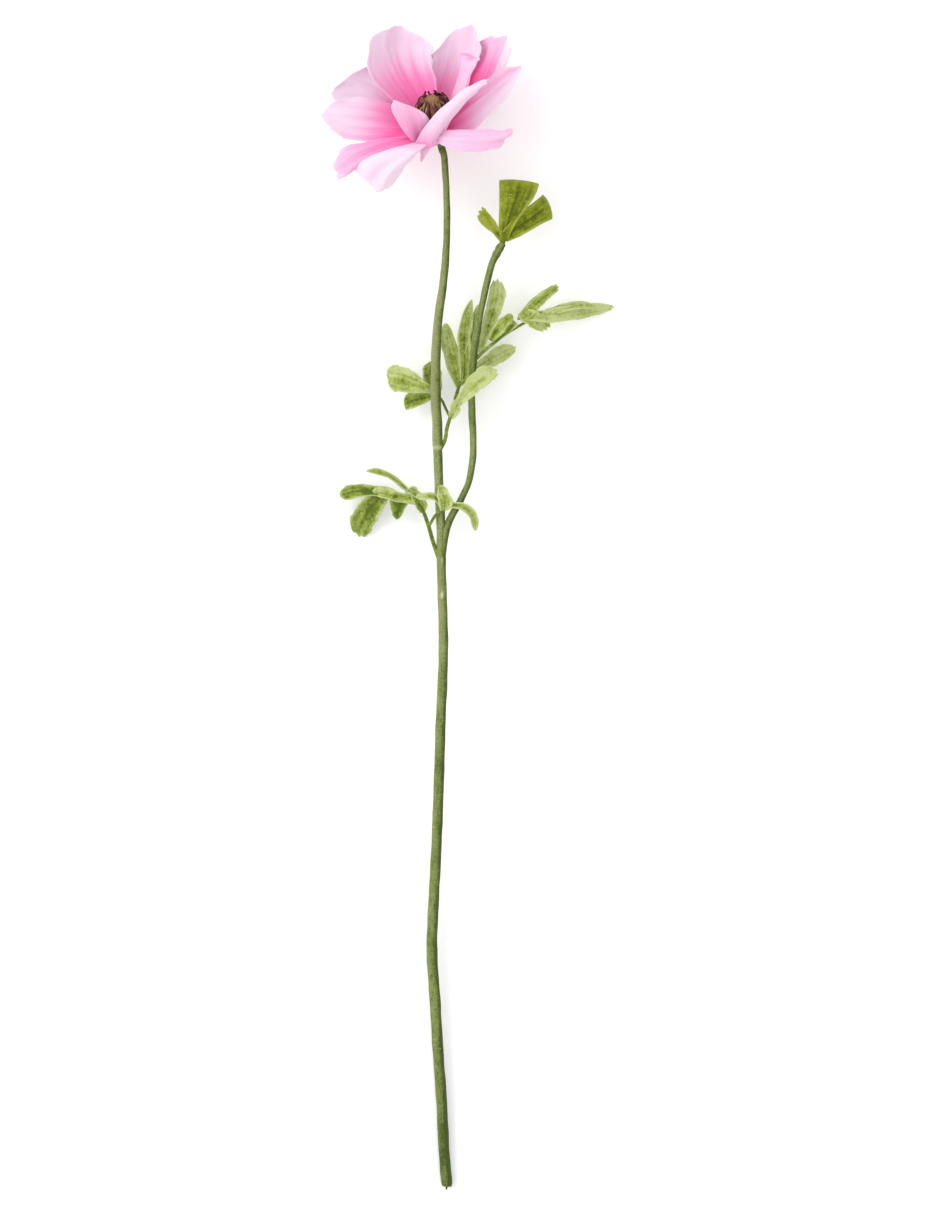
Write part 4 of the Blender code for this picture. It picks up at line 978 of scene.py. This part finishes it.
class ANEMONE_OT_centre(bpy.types.Operator):
    """Build the ribbed ball and its ring of stamens"""
    bl_idname = "anemone.centre"
    bl_label = "Centre"

    def execute(self, context):
        look = context.scene.anemone_centre
        material = centre_material()
        place(self.ball(look), material, "centre", "flower_centre")
        place(self.ring(look), material, "centre", "flower_centre")
        return {"FINISHED"}

    def ball(self, look):
        """Ball of radius R about the axis, its radius lowered between wandering ribs by the rib
        depth times (1 - |cos of half the ribs times a|), which fades out on top, and swollen by
        a cosine with three waves round."""
        rows, columns = BALL_GRID
        angle = np.linspace(0.0, 2.0 * math.pi, columns, endpoint=False)[None, :]
        lean = np.linspace(0.01, BALL_FOOT, rows)[:, None]
        wander = angle + 0.12 * np.sin(3.0 * angle) + 0.1 * np.sin(2.6 * lean + angle)
        groove = (1.0 - np.abs(np.cos(RIBS / 2 * wander))) * ease((lean - 0.25) / 0.6)
        swell = 0.25 * MM * np.cos(3.0 * angle + 1.0) * np.sin(lean)
        size = CENTRE_RADIUS * MM - look.rib * groove + swell
        radius = size * np.sin(lean)
        height = CENTRE_HEIGHT * MM + size * np.cos(lean)
        points = about_axis(angle, radius, height)
        front = np.clip(-np.sin(angle), 0.0, 1.0)
        # Painted highlight and shade: the ball's tan is paler towards its top and lower further down
        tan = 0.62 - 0.65 * groove - 0.3 * ease((lean - 0.4) / 0.8)
        red = (0.25 + 0.75 * front) * ease((lean - 0.2) / 0.5) * (1.0 - 0.6 * groove)
        shares = {"tan": tan, "red": 0.8 * red}
        shell = (points.reshape(-1, 3), cells(rows, columns, True),
                 {k: (v + 0 * angle + 0 * lean).ravel() for k, v in shares.items()})
        caps = [np.arange(columns)[::-1], (rows - 1) * columns + np.arange(columns)]
        return shell_object("centre_ball", [shell], caps)

    def ring(self, look):
        """Stamens: bars along a curve that leaves the foot, swells past the ball and arches in
        over it, turned in steps round the axis with a small sine of the number in place, lift
        and lean; a bar is flat across and ends in a pointed head."""
        right, back, out = head_frame()
        count = look.stamens
        rows, columns = STAMEN_GRID
        number = np.arange(count)[:, None, None]
        line = np.array(STAMEN_LINE)
        k = np.linspace(0.0, 1.0, rows)
        stations = np.linspace(0.0, 1.0, len(line))
        r = np.interp(k, stations, line[:, 0])[None, :, None]
        z = np.interp(k, stations, line[:, 1])[None, :, None]
        k = k[None, :, None]
        turn = 2.0 * math.pi * (number + 0.3 * np.sin(2.4 * number)) / count
        turn = turn + 0.22 * np.sin(5.1 * number) * k ** 2
        inward = 1.3 * np.sin(3.7 * number) * k ** 3 - 0.45 * (number % 3) * k
        lift = 1.5 * np.sin(1.9 * number + 0.5) * k ** 2
        r = (r + inward) * MM
        z = (z + lift) * MM
        side = np.cos(turn) * right + np.sin(turn) * back
        flat = -np.sin(turn) * right + np.cos(turn) * back
        middle = head_point() + r * side + z * out
        forward = unit(np.gradient(middle, axis=1))
        above = np.cross(flat, forward)
        head = 1.0 + 0.7 * np.exp(-((k - 0.86) / 0.09) ** 2) - 0.65 * ease((k - 0.93) / 0.07)
        width = look.stamen_radius * head
        angle = np.linspace(0.0, 2.0 * math.pi, columns, endpoint=False)
        ring = [1.25 * np.cos(a) * flat + 0.8 * np.sin(a) * above for a in angle]
        points = middle[:, :, None, :] + width[..., None] * np.stack(ring, axis=2)
        offsets = np.arange(count) * rows * columns
        faces = cells(rows, columns, True)[None, :, ::-1] + offsets[:, None, None]
        ends = [end for start in offsets for end in end_rings(rows, columns, start)]
        vary = 0.5 + 0.5 * np.sin(7.3 * number)
        lower = 0.5 - 0.5 * np.sin(turn + 0.5)
        tan = (0.15 + 0.6 * vary) * (1.0 - ease((k - 0.5) / 0.4))
        # Painted highlight: the stamen tips on the lower left side get extra pale tan besides their
        # own
        tan = tan + (0.1 + 0.75 * vary * lower) * ease((k - 0.55) / 0.3)
        full = np.ones((count, rows, columns))
        red = 0.4 * (1.0 - vary) * lower
        shares = {"tan": (tan * full).ravel(), "red": (red * full).ravel()}
        shell = (points.reshape(-1, 3), faces.reshape(-1, 4), shares)
        return shell_object("centre_stamens", [shell], ends)


class ANEMONE_OT_stems(bpy.types.Operator):
    """Build the forked stem and the flower stalk, and finish the wire"""
    bl_idname = "anemone.stems"
    bl_label = "Stems"

    def execute(self, context):
        look = context.scene.anemone_stems
        material = stem_material(look)
        relief = look.relief

        def lumps(run, angle):
            """Soft lumps: sines along and round the bar."""
            soft = np.sin(run * 310.0 + 2.0 * angle) + np.sin(run * 530.0 - 3.0 * angle + 1.0)
            return 0.5 * relief * soft

        def fork_lumps(run, angle):
            """Soft lumps, a flared root and a bumpy sleeve below the fan leaf, whose rings are
            |sin| of the distance along."""
            sleeve = ease((run - SLEEVE_START) / SLEEVE_FADE)
            ring = SLEEVE_HEIGHT * MM * np.abs(np.sin(run * 900.0 + 1.3 * np.sin(angle)))
            root = ROOT_HEIGHT * MM * (1.0 - ease(run / ROOT_END))
            return lumps(run, angle) + sleeve * ring + root

        main = self.bar(MAIN_ROUTE, lumps, 0.46, 0.25)
        fork = self.bar(FORK_ROUTE, fork_lumps, 0.52, 0.0)
        stalk = self.bar(STALK_ROUTE, lumps, 0.42, 0.4)
        place(self.bars("main_stem_skin", [main, fork]), material, "stem", "main_stem")
        place(self.bars("flower_stalk_skin", [stalk]), material, "stalk", "flower_stalk")
        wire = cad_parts["stem_wire"]
        wire.data.materials.clear()
        wire.data.materials.append(wire_material())
        return {"FINISHED"}

    def bar(self, route, bumps, dark, tint):
        """One bar's skin with its shares of dark, pale ring or scar, nick and warm tint. Rings are
        Gaussians of the distance in y, the dark one below the bloom a painted shadow; marks are
        smooth discs on the upper side, and the right-hand side is darker by painted shade."""
        points, angle = tube_grid(route, ROUTE_PIECES, TUBE_SIDES, bumps)
        x = points[..., 0]
        y = points[..., 1]
        joint = plan(JOINT)
        pale = 0.5 * np.exp(-((y - joint[1]) / (0.45 * MM)) ** 2)
        pale = pale * (np.abs(x - joint[0]) < 6.0 * MM)
        nick = 0.0 * pale
        for u, w, size, kind in STEM_MARKS:
            spot = plan((u, w, MARK_HEIGHT))
            away = np.hypot(x - spot[0], (y - spot[1]) * 0.6)
            mark = (1.0 - ease(away / (size * MM))) * (np.sin(angle) > 0.0)
            if kind > 0:
                pale = np.maximum(pale, mark)
            else:
                nick = np.maximum(nick, 0.85 * mark)
        # Painted shadow: a dark band round the stalk just below the bloom
        shade = 0.4 * np.exp(-((y - plan(CALYX_SHADOW)[1]) / (2.5 * MM)) ** 2)
        for start, length, amount in DARK_STRETCHES:
            shade = shade + amount * ease((y - start) / length)
        # Painted shade: every bar is darkened down its right-hand side, away from the main light
        shade = shade + 0.55 * ease(np.cos(angle) + 0.05) - 0.08
        start, fade_in, end, fade_out = WARM_BAND
        warm = ease((y - start) / fade_in) * (1.0 - ease((y - end) / fade_out))
        warm = warm + np.exp(-((y - WARM_SPOT[0]) / WARM_SPOT[1]) ** 2)
        warm = tint * warm * ease((0.3 - np.cos(angle)) / 0.8)
        return points, {"dark": dark + shade, "pale": pale, "nick": nick, "warm": warm}

    def bars(self, name, grids):
        """One object of several bars, their end rings closed."""
        shells = [tube_shell(points, shares) for points, shares in grids]
        caps = []
        offset = 0
        for points, _ in grids:
            rows, columns = points.shape[:2]
            caps += end_rings(rows, columns, offset)
            offset += rows * columns
        return shell_object(name, shells, caps)


class ANEMONE_OT_leaves(bpy.types.Operator):
    """Build the three leaf sprays and the fan-shaped leaf"""
    bl_idname = "anemone.leaves"
    bl_label = "Leaves"

    def execute(self, context):
        look = context.scene.anemone_leaves
        green = leaf_material("leaf_flock", look.pale, look.middle, look.dark, look.rim, 0.12)
        olive = leaf_material("leaf_olive_flock", look.fan_pale, look.fan_middle, look.fan_dark,
                              look.fan_rim, 0.4)
        self.spray("leaf_low", LEAF_LOW, look, green, "leaf", "leaf_spray_low")
        self.spray("leaf_mid", LEAF_MID, look, green, "leaf", "leaf_spray_mid")
        self.spray("leaf_side", LEAF_SIDE, look, green, "leaf", "leaf_spray_side")
        self.spray("leaf_fan", LEAF_FAN, look, olive, "leaf_olive", "fan_leaf", 0.15)
        return {"FINISHED"}

    def spray(self, name, leaf, look, material, slot, node, ragged=1.0):
        """One piece of a leaf's lobes and stalks."""
        shells = []
        for shape in leaf["lobes"]:
            points, shares = lobe_sheet(shape, LOBE_GRID, look.cup, look.wave, ragged)
            points[..., 2] = np.maximum(points[..., 2], look.thickness / 2)
            shells.append(blade(points, shares, look.thickness))
        caps = []
        offset = sum(len(shell[0]) for shell in shells)
        for route in leaf["stalks"]:
            points, _ = tube_grid(route, ROUTE_PIECES, STALK_SIDES)
            full = np.ones(points.shape[:2])
            shares = {"dark": 0.85 * full, "vein": 0 * full, "rim": 0 * full}
            shells.append(tube_shell(points, shares))
            rows, columns = points.shape[:2]
            caps += end_rings(rows, columns, offset)
            offset += rows * columns
        place(shell_object(name, shells, caps), material, slot, node)


class ANEMONE_OT_stage(bpy.types.Operator):
    """Build the floor, the lights and the camera"""
    bl_idname = "anemone.stage"
    bl_label = "Stage"

    def execute(self, context):
        look = context.scene.anemone_stage
        half = FLOOR_HALF
        corners = [(-half, -half, 0), (half, -half, 0), (half, half, 0), (-half, half, 0)]
        mesh = bpy.data.meshes.new("floor")
        mesh.from_pydata(corners, [], [(0, 1, 2, 3)])
        mesh.materials.append(floor_material(look))
        floor = bpy.data.objects.new("floor", mesh)
        context.scene.collection.objects.link(floor)
        self.light("main_light", *MAIN_LIGHT, look.key)
        self.light("side_light", *SIDE_LIGHT, look.key * SIDE_SHARE)
        world = bpy.data.worlds.new("studio")
        world.use_nodes = True
        background = world.node_tree.nodes["Background"]
        background.inputs["Color"].default_value = (1.0, 1.0, 1.0, 1.0)
        background.inputs["Strength"].default_value = look.fill
        context.scene.world = world
        context.scene.view_settings.view_transform = "Standard"
        camera_data = bpy.data.cameras.new("camera")
        camera_data.sensor_width = SENSOR
        camera_data.lens = SENSOR * look.eye_height / (VIEW_STEPS_HIGH * GRID)
        camera = bpy.data.objects.new("camera", camera_data)
        context.scene.collection.objects.link(camera)
        x, y, _ = plan((*VIEW_CENTRE, 0.0))
        camera.location = (x, y, look.eye_height)
        context.scene.camera = camera
        return {"FINISHED"}

    def light(self, name, where, size, power):
        """A soft square light that faces the middle of the stem."""
        data = bpy.data.lights.new(name, "AREA")
        data.size = size
        data.energy = power
        lamp = bpy.data.objects.new(name, data)
        lamp.location = where
        away = np.array(where, float)
        flat = math.hypot(away[0], away[1])
        lamp.rotation_euler = (math.atan2(flat, away[2]), 0.0,
                               math.atan2(away[1], away[0]) + math.pi / 2)
        bpy.context.scene.collection.objects.link(lamp)


class ANEMONE_PT_panel(bpy.types.Panel):
    """Pieces of the anemone stem and their settings"""
    bl_label = "Anemone stem"
    bl_space_type = "VIEW_3D"
    bl_region_type = "UI"
    bl_category = "Anemone"

    def draw(self, context):
        groups = (("petals", "anemone.petals"), ("centre", "anemone.centre"),
                  ("stems", "anemone.stems"), ("leaves", "anemone.leaves"),
                  ("stage", "anemone.stage"))
        for part, operator in groups:
            box = self.layout.box()
            box.operator(operator)
            settings = getattr(context.scene, "anemone_" + part)
            for key in settings.__annotations__:
                box.prop(settings, key)


GROUPS = {"petals": ANEMONE_PG_petals, "centre": ANEMONE_PG_centre, "stems": ANEMONE_PG_stems,
          "leaves": ANEMONE_PG_leaves, "stage": ANEMONE_PG_stage}
CLASSES = (*GROUPS.values(), ANEMONE_OT_petals, ANEMONE_OT_centre, ANEMONE_OT_stems,
           ANEMONE_OT_leaves, ANEMONE_OT_stage, ANEMONE_PT_panel)


def register():
    """Register the classes and hang the settings on the scene."""
    for cls in CLASSES:
        bpy.utils.register_class(cls)
    for part, cls in GROUPS.items():
        setattr(bpy.types.Scene, "anemone_" + part, bpy.props.PointerProperty(type=cls))


def unregister():
    """Take the settings and the classes away."""
    for part in GROUPS:
        delattr(bpy.types.Scene, "anemone_" + part)
    for cls in reversed(CLASSES):
        bpy.utils.unregister_class(cls)


def main():
    """Build every piece."""
    register()
    bpy.ops.anemone.petals()
    bpy.ops.anemone.centre()
    bpy.ops.anemone.stems()
    bpy.ops.anemone.leaves()
    bpy.ops.anemone.stage()
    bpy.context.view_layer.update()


if __name__ == "__main__":
    main()
